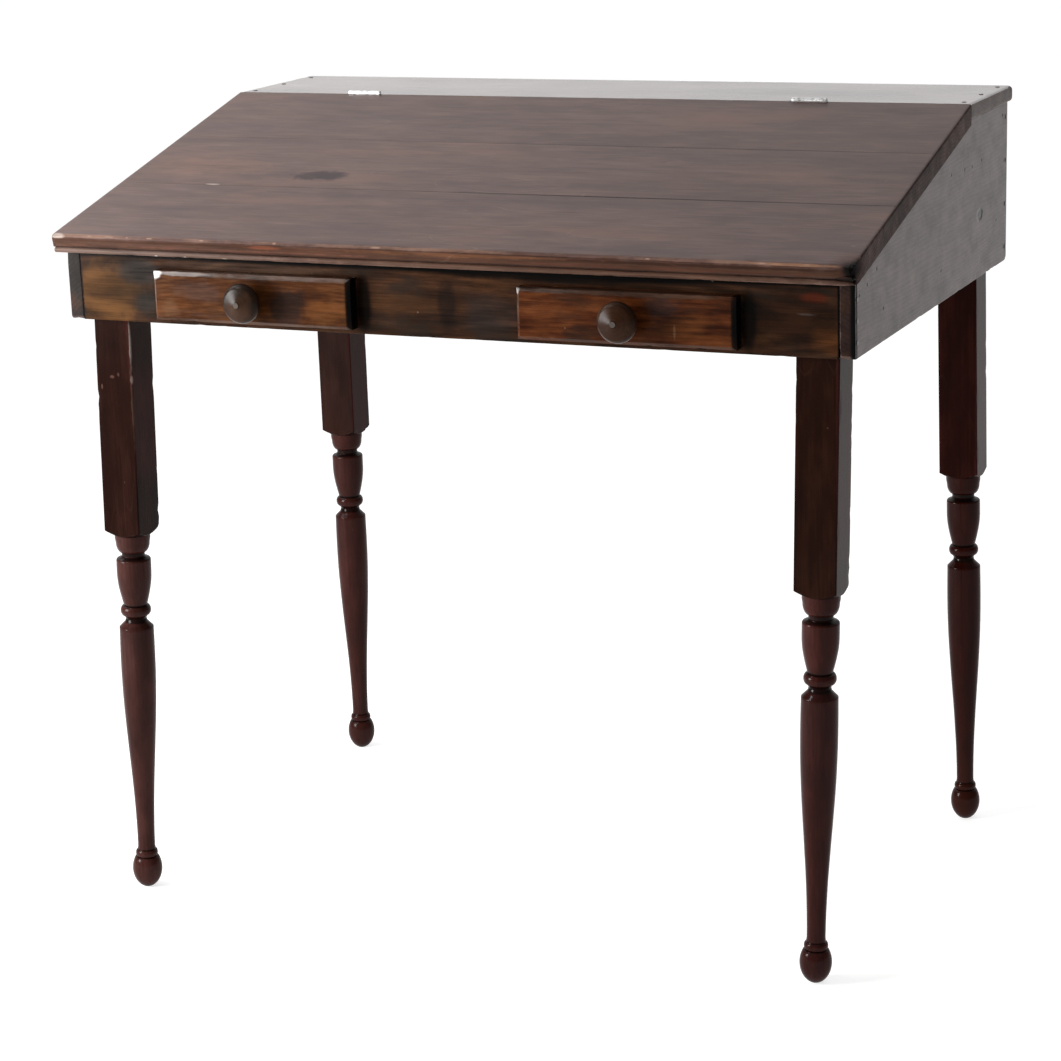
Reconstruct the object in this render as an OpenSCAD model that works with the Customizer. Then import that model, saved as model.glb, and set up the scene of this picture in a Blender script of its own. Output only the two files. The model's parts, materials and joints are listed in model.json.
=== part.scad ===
// Slant top writing desk: a nailed board case with a hinged sloping lid,
// two lipped drawers and four legs with square blocks and turned shafts.
// Units are millimetres. +Z is up, the drawers face -Y, and the origin is on
// the floor under the middle of the desk's bounding box.

/* [Case] */
// Width over the side panels
case_w = 880; // [820:5:1000]
// Depth from the apron's face to the back panel's face
case_d = 577; // [540:1:640]
// Clear height under the case
clear_h = 667; // [600:1:720]
// Height from the case's lower edge to the lid's front top edge, where the arms rest
edge_rise = 95; // [90:1:120]
// Height from the lid's front top edge to the shelf's top
shelf_rise = 102; // [80:1:130]
// Thickness of the side panels
panel_t = 16; // [14:0.5:19]
// Thickness of the front apron
apron_t = 13; // [11:0.5:16]
// Thickness of the back panel
back_t = 13; // [11:0.5:16]
// Radius of the worn lower corners of the side panels
panel_corner_r = 4; // [1:0.5:8]
// Gap between the apron's top edge and the lid
apron_gap = 3; // [0.5:0.5:4]

/* [Shelf] */
// Depth of the fixed shelf behind the lid
shelf_d = 174; // [150:1:200]
// Thickness of the shelf
shelf_t = 18; // [15:0.5:20]
// Overhang of the shelf past each side panel
shelf_over = 5; // [2:0.5:8]
// Radius of the nosing on the shelf's ends
shelf_nose_r = 5; // [2:0.5:7]

/* [Lid] */
// Thickness of the lid boards
lid_t = 22; // [18:0.5:24]
// Overhang of the lid past the apron
lid_front_over = 20; // [14:1:26]
// Overhang of the lid past each side panel
lid_side_over = 5; // [2:0.5:8]
// Width of the lid's front board
front_board_w = 149; // [136:1:165]
// Width of the lid's middle board
middle_board_w = 141; // [120:1:160]
// Gap between the lid's back edge and the shelf
joint_gap = 0.6; // [0.6:0.1:1.5]
// Gap under the lid where it rests on the side panels
seat_gap = 0.2; // [0.1:0.1:0.5]
// Radius of the bead along the lid's front edge
bead_r = 3.2; // [2:0.1:4]
// Height of the groove above the bead
groove_h = 1.2; // [0.8:0.1:2]
// Radius on the lid's top front arris
arris_r = 4; // [1:0.5:6]
// Radius on the top arris of the lid's ends
end_r = 3; // [1:0.5:4]
// Distance from each batten's middle to the lid's end
batten_in = 145; // [100:5:200]
// Width of a batten
batten_w = 40; // [30:1:60]
// Thickness of a batten
batten_t = 12; // [9:0.5:14]
// Distance from the lid's front edge to the battens
batten_front = 105; // [90:5:110]
// Distance from the battens to the lid's back edge
batten_back = 40; // [30:5:60]

/* [Legs] */
// Side of the square block
post_w = 45; // [42:1:48]
// Gap between a block and the side panel
post_gap = 3.5; // [2.5:0.5:8]
// Length of the square block below the case
block_l = 247; // [200:1:280]
// Length of the turned shoulder that ends the block
shoulder_l = 8; // [5:0.5:12]
// Lean of the front left leg, towards the left at the foot, in degrees
front_left_lean = 1.7; // [0:0.1:2]
// Lean of the front right leg, towards the left at the foot, in degrees
front_right_lean = 1.2; // [0:0.1:1.8]
// Lean of the back right leg, towards the right at the foot, in degrees
back_right_lean = 0.8; // [0:0.1:1.8]
// Diameter of the collar under the block
collar_d = 41; // [36:0.5:42]
// Diameter of the collar where it rounds in
collar_low_d = 37.8; // [34:0.5:40]
// Length of the collar
collar_l = 21; // [16:1:26]
// Length of the rounding at the collar's lower end
collar_round_l = 12; // [8:0.5:15]
// Diameter of the cove under the collar
cove_d = 25.5; // [20:0.5:28]
// Length of the cove
cove_l = 7; // [5:0.5:10]
// Diameter of the vase
vase_d = 38.5; // [34:0.5:42]
// Length of the vase's lip
lip_l = 6; // [4:0.5:8]
// Length of the vase below its lip
vase_l = 48.5; // [40:0.5:60]
// Diameter of the vase's foot
vase_foot_d = 26; // [22:0.5:30]
// Diameter of the ring under the vase
ring_d = 34; // [30:0.5:38]
// Length of the ring
ring_l = 12; // [8:0.5:16]
// Diameter of the neck under the ring
neck_d = 23.3; // [20:0.5:28]
// Length of the neck
neck_l = 6.5; // [4:0.5:10]
// Length of the flare from the neck to the shaft
flare_l = 7; // [5:0.5:12]
// Diameter of the shaft at its top
shaft_d = 38.2; // [34:0.1:42]
// Diameter of the shaft where it swells most
swell_d = 38.9; // [34:0.1:42]
// Distance from the shaft's top to its swell
swell_l = 38; // [20:1:60]
// Diameter of the ankle
ankle_d = 19.8; // [16:0.1:24]
// Diameter of the ring at the ankle
ankle_ring_d = 25.4; // [22:0.1:30]
// Length of the ring at the ankle
ankle_ring_l = 9; // [6:0.5:12]
// Diameter of the ball foot
ball_d = 34; // [28:0.5:40]
// Half height that the ball would have without its flat
ball_half_h = 23; // [19:0.5:30]
// Height cut off the ball for the flat that it stands on
ball_cut = 1; // [0.5:0.1:2]

/* [Drawers] */
// Distance from each drawer front to the side of the case
drawer_in = 115; // [100:1:130]
// Width of a drawer front
front_w = 232; // [210:1:260]
// Height of a drawer front
front_h = 53; // [46:1:54]
// Distance that a drawer front stands off the apron
front_t = 18; // [14:0.5:22]
// Width of the bevel round a drawer front
front_bevel = 4; // [2:0.5:6]
// Height of a drawer front above the case's lower edge
front_rise = 6.5; // [5:0.5:9]
// Width of the lip that covers the edge of the opening
lip_w = 5.5; // [3:0.5:8]
// Thickness of a drawer front's tongue inside the opening
tongue_t = 10; // [8:0.5:12]
// Length of a drawer's sides
drawer_l = 340; // [300:5:400]
// Thickness of a drawer's sides
side_t = 10; // [8:0.5:12]
// Thickness of a drawer's back
drawer_back_t = 9; // [7:0.5:12]
// Thickness of a drawer's bottom
bottom_t = 5; // [4:0.5:6]
// Height of a drawer's bottom above the lower edge of its sides
bottom_rise = 5; // [4:0.5:8]
// Depth of the grooves that hold a drawer's bottom
groove_d = 4; // [3:0.5:5]
// Play round a drawer's bottom in its grooves
groove_play = 0.3; // [0.2:0.1:0.5]
// Play beside and above a drawer in its opening
drawer_play = 0.8; // [0.5:0.1:1.5]
// Gap between a drawer and its runners
ride_gap = 0.3; // [0.2:0.1:0.5]

/* [Knobs] */
// Diameter of a knob
knob_d = 42; // [36:1:46]
// Distance that a knob stands off its drawer front
knob_l = 30; // [26:1:34]
// Half thickness of the knob's head
knob_half_t = 12.5; // [10:0.5:14]
// Diameter of a knob's neck
knob_neck_d = 19; // [16:1:24]
// Diameter of the bolt through a knob
bolt_d = 4; // [3:0.5:5]
// Diameter of the bolt's head
bolt_head_d = 6; // [5.5:0.5:8]
// Depth of the bolt's head in the knob
bolt_head_l = 2; // [1.5:0.5:3]
// Width of the bolt's square nut
nut_w = 11; // [9:1:14]
// Thickness of the bolt's square nut
nut_t = 3.5; // [2.5:0.5:5]
// Radial clearance round the bolts and the hinge screws
bolt_play = 0.15; // [0.1:0.05:0.3]

/* [Inside] */
// Thickness of the compartment's floor boards
floor_t = 8; // [6:0.5:10]
// Distance from the drawer opening's top to the floor
floor_rise = 1; // [0.5:0.5:3]
// Gap between two floor boards
floor_gap = 0.6; // [0.3:0.1:2]
// Height of the floor cleats
cleat_h = 14; // [10:1:20]
// Width of the floor cleats
cleat_w = 12; // [8:1:16]
// Thickness of the drawer runners
runner_t = 11; // [8:0.5:12]
// Width of the drawer guides
guide_w = 14; // [10:1:20]
// Height of the drawer guides above the runners
guide_h = 14; // [8:1:20]
// Distance that a runner reaches under its drawer
runner_in = 16; // [12:1:24]

/* [Hinges] */
// Width of a hinge
hinge_w = 40; // [30:1:60]
// Distance from the left hinge's middle to the lid's end
left_hinge_in = 167; // [100:1:240]
// Distance from the right hinge's middle to the lid's end
right_hinge_in = 181; // [100:1:240]
// Diameter of a hinge's barrel
barrel_d = 5.6; // [5:0.1:7]
// Height of the hinge's axis above the shelf's top
axis_rise = 1; // [0.5:0.1:1.5]
// Thickness of a hinge's leaves
leaf_t = 1.5; // [1.2:0.1:2]
// Height of a hinge's leaves below the axis
leaf_h = 15; // [13:0.5:16]
// Number of knuckles in a barrel
knuckles = 5; // [3:2:7]
// Gap between two knuckles
knuckle_gap = 0.2; // [0.1:0.1:0.5]
// Diameter of the hinge pin
pin_d = 2.4; // [2:0.1:3]
// Radial clearance of the hinge pin
pin_play = 0.05; // [0.02:0.01:0.1]
// Clearance round the barrel and behind the leaves
leaf_play = 0.3; // [0.2:0.1:0.6]
// Gap between each closed leaf and the plane of the hinge's axis
leaf_gap = 0.1; // [0.05:0.05:0.3]
// Diameter of the hinge screws
screw_d = 2.6; // [2:0.1:3.2]
// Diameter of the hinge screws' heads
screw_head_d = 5; // [4.4:0.1:6]
// Length of the hinge screws
screw_l = 13; // [10:1:20]
// Distance between two hinge screws
screw_pitch = 14; // [10:1:16]
// Depth of the hinge screws below the axis
screw_drop = 9.5; // [8:0.5:10]

/* [Nails] */
// Diameter of a nail
nail_d = 2.4; // [2:0.1:3]
// Diameter of a nail's head
nail_head_d = 5; // [4:0.1:6]
// Height of a nail's head above the board
nail_proud = 0.4; // [0.2:0.1:0.6]
// Length of a nail in the case
nail_l = 36; // [30:1:40]
// Distance from the end of a row of nails to the edge of its board
nail_edge = 16; // [12:1:24]
// Length of a small nail in a drawer
brad_l = 22; // [16:1:26]
// Diameter of a small nail in a drawer
brad_d = 1.6; // [1.4:0.1:2]
// Height of a small nail's head above a drawer's side
brad_proud = 0.2; // [0.1:0.1:0.3]
// Distance of the small nails from the side's top edge, and from its groove
brad_edge = 8; // [5:0.5:9]
// Wood left between the point of a leg's screw and the board's outer face
leg_screw_cover = 4; // [3:0.5:8]
// Distance of a leg's screws from the case's lower edge and from the compartment's floor
leg_screw_edge = 15; // [12:1:20]
// Diameter of a screw that holds a leg
leg_screw_d = 5; // [4:0.5:6]
// Diameter of the head of a screw that holds a leg or a batten
big_head_d = 9; // [7:0.5:11]
// Wood left between the point of a batten's screw and the lid's top
batten_screw_cover = 7; // [4:0.5:10]
// Diameter of a screw that holds a batten
batten_screw_d = 4; // [3:0.5:5]

/* [Hidden] */
$fn = 48;
cut = 1; // overshoot of a cutting shape past the face that it cuts

// Heights of the writing edge and of the shelf above the floor
edge_h = clear_h + edge_rise;
shelf_h = edge_h + shelf_rise;

// Depths, from the back of the case at +Y to the knobs at -Y
depth = case_d + front_t + knob_l;
back_y = depth / 2;
front_y = back_y - case_d;
inner_front_y = front_y + apron_t;
inner_back_y = back_y - back_t;
inner_w = case_w - 2 * panel_t;

// The slope of the lid, from its front edge to the joint with the shelf
joint_y = back_y - shelf_d;
lid_back_y = joint_y - joint_gap;
lid_front_y = front_y - lid_front_over;
slope = atan2(shelf_h - edge_h, lid_back_y - lid_front_y);
lid_l = (lid_back_y - lid_front_y) / cos(slope);
lid_w = case_w + 2 * lid_side_over;
batten_x = lid_w / 2 - batten_in;
function lid_under(y) = shelf_h + (y - lid_back_y) * tan(slope) - lid_t / cos(slope);

// Legs
post_x = inner_w / 2 - post_gap - post_w / 2;
front_post_y = inner_front_y + post_w / 2;
back_post_y = inner_back_y - post_w / 2;
block_end = clear_h - block_l;
vase_top = block_end - collar_l - cove_l;
vase_end = vase_top - lip_l - vase_l;
ring_mid = vase_end - ring_l / 2;
neck_end = vase_end - ring_l - neck_l;
shaft_top = neck_end - flare_l;
ball_mid = ball_half_h - ball_cut;
ball_top_angle = 38; // where the ball meets the ring at the ankle, in degrees
ankle_ring_mid = ball_mid + ball_half_h * sin(ball_top_angle) + ankle_ring_l / 2;
ankle_h = ankle_ring_mid + ankle_ring_l;

// Drawers
drawer_x = case_w / 2 - drawer_in - front_w / 2;
opening_w = front_w - 2 * lip_w;
opening_h = front_h - 2 * lip_w;
opening_z = clear_h + front_rise + lip_w;
box_w = opening_w - 2 * drawer_play;
box_h = opening_h - ride_gap - drawer_play;
box_z = opening_z + ride_gap;
drawer_back_y = front_y + drawer_l;
inside_w = box_w - 2 * side_t;
front_mid_z = clear_h + front_rise + front_h / 2;

// The compartment's floor lies on the legs' blocks and the cleats
floor_z = opening_z + opening_h + floor_rise;
floor_top = floor_z + floor_t;
floor_board_d = (inner_back_y - inner_front_y - 2 * floor_gap) / 3;

// Hinges
left_hinge_x = -lid_w / 2 + left_hinge_in;
right_hinge_x = lid_w / 2 - right_hinge_in;
axis_y = joint_y - joint_gap / 2;
axis_z = shelf_h + axis_rise;
barrel_r = barrel_d / 2;

function ellipse_arc(mid_r, mid_z, r, half_h, from, to, steps) =
    [for (i = [0:steps]) let (a = from + (to - from) * i / steps)
        [mid_r + r * cos(a), mid_z + half_h * sin(a)]];

// Extrudes a profile given as [y, z] points along X, centred on x = 0
module along_x(length, points) {
    translate([-length / 2, 0, 0])
        rotate([90, 0, 90])
            linear_extrude(length)
                polygon(points);
}

// Extrudes a profile given as [x, z] points along Y, from y = 0 to +Y
module along_y(length, points) {
    translate([0, length, 0])
        rotate([90, 0, 0])
            linear_extrude(length)
                polygon(points);
}

// A box from its lowest and highest corners
module box(low, high) {
    translate(low) cube(high - low);
}

// A fastener with its head's top at the origin, driven along -Z
module fastener(d, head_d, head_l, l) {
    rim_l = head_l * 0.3;
    rotate_extrude()
        polygon([[0, 0], [head_d / 2, 0], [head_d / 2, -rim_l], [d / 2, -head_l],
                 [d / 2, -l + d], [0, -l]]);
}

// Moves children to each place of an even row between two values
module row(from, to, count, along) {
    for (i = [0:count - 1])
        translate(along * (from + (to - from) * i / (count - 1))) children();
}

module driven_to_y(point, towards) {
    translate(point) rotate([towards > 0 ? 90 : -90, 0, 0]) children();
}

module driven_to_x(point, towards) {
    translate(point) rotate([0, towards > 0 ? -90 : 90, 0]) children();
}

// Case

module side_panel(side) {
    r = panel_corner_r;
    shelf_under = shelf_h - shelf_t;
    meet_y = lid_back_y + (shelf_under + seat_gap - lid_under(lid_back_y)) / tan(slope);
    profile = concat(
        ellipse_arc(front_y + r, clear_h + r, r, r, 180, 270, 6),
        ellipse_arc(back_y - r, clear_h + r, r, r, 270, 360, 6),
        [[back_y, shelf_under]],
        meet_y > joint_y ? [[meet_y, shelf_under]]
                         : [[joint_y, shelf_under], [joint_y, lid_under(joint_y) - seat_gap]],
        [[front_y, lid_under(front_y) - seat_gap]]);
    color([0.27, 0.23, 0.21])
        translate([side * (case_w - panel_t) / 2, 0, 0])
            along_x(panel_t, profile);
}

module back_panel() {
    color([0.24, 0.19, 0.16])
        box([-inner_w / 2, inner_back_y, clear_h], [inner_w / 2, back_y, shelf_h - shelf_t]);
}

module front_apron() {
    profile = [[front_y, clear_h], [inner_front_y, clear_h],
               [inner_front_y, lid_under(inner_front_y) - apron_gap],
               [front_y, lid_under(front_y) - apron_gap]];
    color([0.25, 0.16, 0.11])
        difference() {
            along_x(inner_w, profile);
            for (side = [-1, 1])
                box([side * drawer_x - opening_w / 2, front_y - cut, opening_z],
                    [side * drawer_x + opening_w / 2, inner_front_y + cut, opening_z + opening_h]);
        }
}

module top_shelf() {
    w = case_w / 2 + shelf_over;
    r = shelf_nose_r;
    low = shelf_h - shelf_t;
    profile = concat(
        ellipse_arc(w - r, low + r, r, r, -90, 0, 6),
        ellipse_arc(w - r, shelf_h - r, r, r, 0, 90, 6),
        ellipse_arc(-w + r, shelf_h - r, r, r, 90, 180, 6),
        ellipse_arc(-w + r, low + r, r, r, 180, 270, 6));
    color([0.42, 0.40, 0.38])
        difference() {
            translate([0, joint_y, 0]) along_y(shelf_d, profile);
            hinge_recess(left_hinge_x, 1);
            hinge_recess(right_hinge_x, 1);
        }
}

// Compartment floor

module floor_board(index) {
    start = inner_front_y + index * (floor_board_d + floor_gap);
    color([0.36, 0.27, 0.19])
        box([-inner_w / 2, start, floor_z], [inner_w / 2, start + floor_board_d, floor_top]);
}

module floor_cleats() {
    color([0.34, 0.25, 0.18])
        for (side = [-1, 1])
            translate([side * (inner_w - cleat_w) / 2, 0, 0])
                box([-cleat_w / 2, front_post_y + post_w / 2, floor_z - cleat_h],
                    [cleat_w / 2, back_post_y - post_w / 2, floor_z]);
}

// Legs

// Small roundings and flares of the turned part
cove_flare = 1.2;
lip_round = 2;
neck_flare = 0.6;
shaft_round = 0.8;

// Outline of the turned part as [radius, height] points, from the block down to the floor
function leg_profile() =
    let (lip_h = lip_l * 0.4,
         vase_side_l = vase_l * 0.2,
         taper_top = shaft_top - swell_l)
    concat(
        [[0, block_end + cut], [collar_d / 2, block_end + cut], [collar_d / 2, block_end]],
        ellipse_arc(cove_d / 2, block_end - collar_l + collar_round_l,
                    (collar_low_d - cove_d) / 2, -collar_round_l, 0, 90, 8),
        [[cove_d / 2, vase_top + cove_l / 2], [cove_d / 2 + cove_flare, vase_top + cove_flare]],
        ellipse_arc(vase_d / 2 - lip_round, vase_top - lip_h, lip_round, lip_h, 80, 0, 4),
        [[vase_d / 2, vase_top - lip_l - vase_side_l]],
        [for (i = [1:10]) let (t = i / 10)
            [vase_foot_d / 2 + (vase_d - vase_foot_d) / 2 * cos(90 * t),
             vase_top - lip_l - vase_side_l - (vase_l - vase_side_l) * t]],
        ellipse_arc(vase_foot_d / 2, ring_mid, (ring_d - vase_foot_d) / 2, ring_l / 2,
                    90, -90, 10),
        [[neck_d / 2, neck_end + neck_l / 2], [neck_d / 2 + neck_flare, neck_end],
         [shaft_d / 2 - shaft_round, shaft_top + shaft_round], [shaft_d / 2, shaft_top]],
        [for (i = [1:4]) let (t = i / 4)
            [shaft_d / 2 + (swell_d - shaft_d) / 2 * sin(90 * t), shaft_top - swell_l * t]],
        [for (i = [1:16]) let (t = i / 16)
            [ankle_d / 2 + (swell_d - ankle_d) / 4 * (1 + cos(180 * t)),
             taper_top + (ankle_h - taper_top) * t]],
        ellipse_arc(ankle_d / 2, ankle_ring_mid, (ankle_ring_d - ankle_d) / 2,
                    ankle_ring_l / 2, 80, -60, 8),
        ellipse_arc(0, ball_mid, ball_d / 2, ball_half_h, ball_top_angle, -90, 18));

// The square block, rounded down to the collar at its lower end
module leg_block() {
    block_h = clear_h + case_d - block_end;
    intersection() {
        translate([-post_w / 2, -post_w / 2, block_end])
            cube([post_w, post_w, block_h]);
        union() {
            translate([0, 0, block_end])
                cylinder(h = shoulder_l, r1 = collar_d / 2, r2 = post_w * 0.75, $fn = 64);
            translate([0, 0, block_end + shoulder_l])
                cylinder(h = block_h, r = post_w, $fn = 64);
        }
    }
}

// A leg leans about the case's lower edge. Its ends are cut level, at the floor that it
// stands on and under the compartment's floor that it carries.
module leg(x, y, lean) {
    color([0.20, 0.11, 0.09])
        intersection() {
            translate([x, y, clear_h])
                rotate([0, lean, 0])
                    translate([0, 0, -clear_h]) {
                        rotate_extrude($fn = 64) polygon(leg_profile());
                        leg_block();
                    }
            box([-case_w, -case_d, 0], [case_w, case_d, floor_z]);
        }
}

// Drawer runners and guides, which join the apron to the back panel

module drawer_strips(inner, outer, low, high) {
    for (side = [-1, 1], edge = [-1, 1])
        translate([side * drawer_x, 0, 0])
            mirror([edge < 0 ? 1 : 0, 0, 0])
                box([inner, inner_front_y, low], [outer, inner_back_y, high]);
}

module drawer_runners() {
    color([0.38, 0.29, 0.20])
        drawer_strips(box_w / 2 - runner_in, opening_w / 2 + guide_w,
                      opening_z - runner_t, opening_z);
}

module drawer_guides() {
    color([0.36, 0.27, 0.19])
        drawer_strips(opening_w / 2, opening_w / 2 + guide_w, opening_z, opening_z + guide_h);
}

// Fasteners of the case

nail_head_l = 1.2; // height of a nail's head
screw_head_l = 3; // height of the head of a screw that holds a leg or a batten

module nail() {
    fastener(nail_d, nail_head_d, nail_head_l, nail_l);
}

// Nails through the side panels into the ends of the apron and the back panel
module case_nails() {
    apron_top = lid_under(front_y) - apron_gap;
    color([0.10, 0.09, 0.09])
        for (side = [-1, 1]) {
            row(clear_h + nail_edge, apron_top - nail_edge, 3, [0, 0, 1])
                driven_to_x([side * (case_w / 2 + nail_proud), front_y + apron_t / 2, 0], -side)
                    nail();
            row(clear_h + nail_edge, shelf_h - shelf_t - nail_edge, 4, [0, 0, 1])
                driven_to_x([side * (case_w / 2 + nail_proud), back_y - back_t / 2, 0], -side)
                    nail();
        }
}

// Nails through the shelf into the side panels
module shelf_nails() {
    color([0.10, 0.09, 0.09])
        for (side = [-1, 1])
            row(joint_y + nail_edge, back_y - nail_edge, 3, [0, 1, 0])
                translate([side * (case_w - panel_t) / 2, 0, shelf_h + nail_proud])
                    nail();
}

// Screws through the legs' blocks into the apron and the back panel
module leg_screws() {
    near_front = front_post_y + post_w / 2 + nail_proud;
    near_back = back_post_y - post_w / 2 - nail_proud;
    color([0.16, 0.15, 0.14])
        for (side = [-1, 1])
            row(clear_h + leg_screw_edge, floor_z - leg_screw_edge, 2, [0, 0, 1]) {
                driven_to_y([side * post_x, near_front, 0], -1)
                    fastener(leg_screw_d, big_head_d, screw_head_l,
                             post_w + apron_t + nail_proud - leg_screw_cover);
                driven_to_y([side * post_x, near_back, 0], 1)
                    fastener(leg_screw_d, big_head_d, screw_head_l,
                             post_w + back_t + nail_proud - leg_screw_cover);
            }
}

// Hinges. Side 1 is the shelf's leaf and side -1 the lid's.

// Space for a leaf and the whole barrel in the edge of a board
module hinge_recess(x, side) {
    play = leaf_play;
    back = leaf_gap + leaf_t + play;
    box([x - hinge_w / 2 - play, min(axis_y, axis_y + side * back), axis_z - leaf_h - play],
        [x + hinge_w / 2 + play, max(axis_y, axis_y + side * back), axis_z + cut]);
    translate([x - hinge_w / 2 - play, axis_y, axis_z])
        rotate([0, 90, 0])
            cylinder(h = hinge_w + 2 * play, r = barrel_r + play);
}

module hinge_leaf(x, side) {
    pitch = hinge_w / knuckles;
    first = side > 0 ? 0 : 1;
    near = axis_y + side * leaf_gap;
    far = axis_y + side * (leaf_gap + leaf_t);
    color([0.72, 0.71, 0.69])
        difference() {
            union() {
                box([x - hinge_w / 2, min(near, far), axis_z - leaf_h],
                    [x + hinge_w / 2, max(near, far), axis_z - barrel_r - leaf_play]);
                for (i = [first:2:knuckles - 1])
                    translate([x - hinge_w / 2 + i * pitch + knuckle_gap / 2, 0, 0]) {
                        translate([0, axis_y, axis_z])
                            rotate([0, 90, 0])
                                cylinder(h = pitch - knuckle_gap, r = barrel_r);
                        box([0, min(near, far), axis_z - barrel_r - leaf_play - cut],
                            [pitch - knuckle_gap, max(near, far), axis_z]);
                    }
            }
            translate([x - hinge_w / 2 - cut, axis_y, axis_z])
                rotate([0, 90, 0])
                    cylinder(h = hinge_w + 2 * cut, r = pin_d / 2 + pin_play);
            for (i = [-1:1])
                driven_to_y([x + i * screw_pitch, near, axis_z - screw_drop], side)
                    hinge_screw(bolt_play);
        }
}

module hinge_pin(x) {
    color([0.55, 0.54, 0.52])
        translate([x - hinge_w / 2, axis_y, axis_z])
            rotate([0, 90, 0])
                cylinder(h = hinge_w, r = pin_d / 2);
}

// A hinge screw's head fills the thickness of the leaf
module hinge_screw(play = 0) {
    fastener(screw_d + 2 * play, screw_head_d + 2 * play, leaf_t, screw_l);
}

module hinge_screws(side) {
    color([0.62, 0.61, 0.58])
        for (x = [left_hinge_x, right_hinge_x], i = [-1:1])
            driven_to_y([x + i * screw_pitch, axis_y + side * leaf_gap, axis_z - screw_drop],
                        side)
                hinge_screw();
}

// Lid. Its boards lie in a frame with y = 0 at the back edge and z = 0 on top.

module in_lid() {
    translate([0, lid_back_y, shelf_h]) rotate([slope, 0, 0]) children();
}

// Outline of the lid's moulded front edge as [y, z] points, from below to the top
lid_edge = concat(
    ellipse_arc(-lid_l + bead_r, -lid_t + bead_r, bead_r, bead_r, 270, 90, 10),
    [[-lid_l, -lid_t + 2 * bead_r + groove_h]],
    ellipse_arc(-lid_l + arris_r, -arris_r, arris_r, arris_r, 180, 90, 5));

// The part of the lid between two distances from its front edge
module lid_board(from, to) {
    w = lid_w / 2;
    at_front = from <= 0;
    at_back = to >= lid_l;
    back_low = at_back ? -lid_t * tan(slope) : -lid_l + to;
    back_high = at_back ? 0 : -lid_l + to;
    front_side = at_front ? lid_edge : [[-lid_l + from, -lid_t], [-lid_l + from, 0]];
    end_profile = concat(
        [[-w, -lid_t], [w, -lid_t]],
        ellipse_arc(w - end_r, -end_r, end_r, end_r, 0, 90, 5),
        ellipse_arc(-w + end_r, -end_r, end_r, end_r, 90, 180, 5));
    color([0.30, 0.22, 0.19])
        difference() {
            in_lid()
                intersection() {
                    along_x(lid_w + 2 * cut, concat([[back_low, -lid_t]], front_side,
                                                   [[back_high, 0]]));
                    translate([0, -lid_l - cut, 0]) along_y(lid_l + 2 * cut, end_profile);
                }
            if (at_back) {
                hinge_recess(left_hinge_x, -1);
                hinge_recess(right_hinge_x, -1);
            }
        }
}

module lid_batten(side) {
    start = -lid_l + batten_front;
    end = -batten_back;
    low = -lid_t - batten_t;
    color([0.33, 0.24, 0.18])
        in_lid()
            translate([side * batten_x, 0, 0])
                along_x(batten_w, [[start, -lid_t], [start + batten_t, low],
                                   [end - batten_t, low], [end, -lid_t]]);
}

// Distances of a batten's screws from the lid's front edge, one in each board
batten_screw_from = let (seam = front_board_w + middle_board_w) [
    (batten_front + batten_t + front_board_w) / 2,
    front_board_w + middle_board_w / 2,
    (seam + lid_l - batten_back - batten_t) / 2
];

module batten_screws() {
    head = -lid_t - batten_t - nail_proud;
    color([0.16, 0.15, 0.14])
        in_lid()
            for (side = [-1, 1], from = batten_screw_from)
                translate([side * batten_x, -lid_l + from, head])
                    mirror([0, 0, 1])
                        fastener(batten_screw_d, big_head_d, screw_head_l,
                                 -head - batten_screw_cover);
}

// Drawers. Side -1 is the left drawer and 1 the right, edge the same for its two sides.

module drawer_front(side) {
    w = front_w / 2;
    c = front_bevel;
    low = clear_h + front_rise;
    high = low + front_h;
    face = front_y - front_t;
    up_profile = [[front_y, low], [front_y, high], [face + c, high], [face, high - c],
                  [face, low + c], [face + c, low]];
    color([0.36, 0.17, 0.10])
        translate([side * drawer_x, 0, 0])
            difference() {
                union() {
                    intersection() {
                        along_x(front_w, up_profile);
                        translate([0, 0, low])
                            linear_extrude(front_h)
                                polygon([[-w, front_y], [w, front_y], [w, face + c],
                                         [w - c, face], [-w + c, face], [-w, face + c]]);
                    }
                    difference() {
                        box([-inside_w / 2, front_y - cut, box_z],
                            [inside_w / 2, front_y + tongue_t, box_z + box_h]);
                        box([-inside_w / 2 - cut, front_y + tongue_t - groove_d,
                             box_z + bottom_rise - groove_play],
                            [inside_w / 2 + cut, front_y + tongue_t + cut,
                             box_z + bottom_rise + bottom_t + groove_play]);
                    }
                }
                translate([0, face - cut, front_mid_z])
                    rotate([-90, 0, 0])
                        cylinder(h = front_t + tongue_t + 2 * cut, r = bolt_d / 2 + bolt_play);
            }
}

module drawer_side(side, edge) {
    outer = edge * box_w / 2;
    inner = edge * inside_w / 2;
    groove = inner + edge * groove_d;
    color([0.40, 0.30, 0.21])
        translate([side * drawer_x, 0, 0])
            difference() {
                box([min(inner, outer), front_y, box_z],
                    [max(inner, outer), drawer_back_y, box_z + box_h]);
                box([min(inner - edge * cut, groove), front_y + tongue_t - groove_d,
                     box_z + bottom_rise - groove_play],
                    [max(inner - edge * cut, groove), drawer_back_y + cut,
                     box_z + bottom_rise + bottom_t + groove_play]);
            }
}

module drawer_back(side) {
    color([0.40, 0.30, 0.21])
        translate([side * drawer_x, 0, 0])
            box([-inside_w / 2, drawer_back_y - drawer_back_t,
                 box_z + bottom_rise + bottom_t + groove_play],
                [inside_w / 2, drawer_back_y, box_z + box_h]);
}

module drawer_bottom(side) {
    half = inside_w / 2 + groove_d - groove_play;
    color([0.46, 0.36, 0.25])
        translate([side * drawer_x, 0, 0])
            box([-half, front_y + tongue_t - groove_d + groove_play, box_z + bottom_rise],
                [half, drawer_back_y, box_z + bottom_rise + bottom_t]);
}

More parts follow.
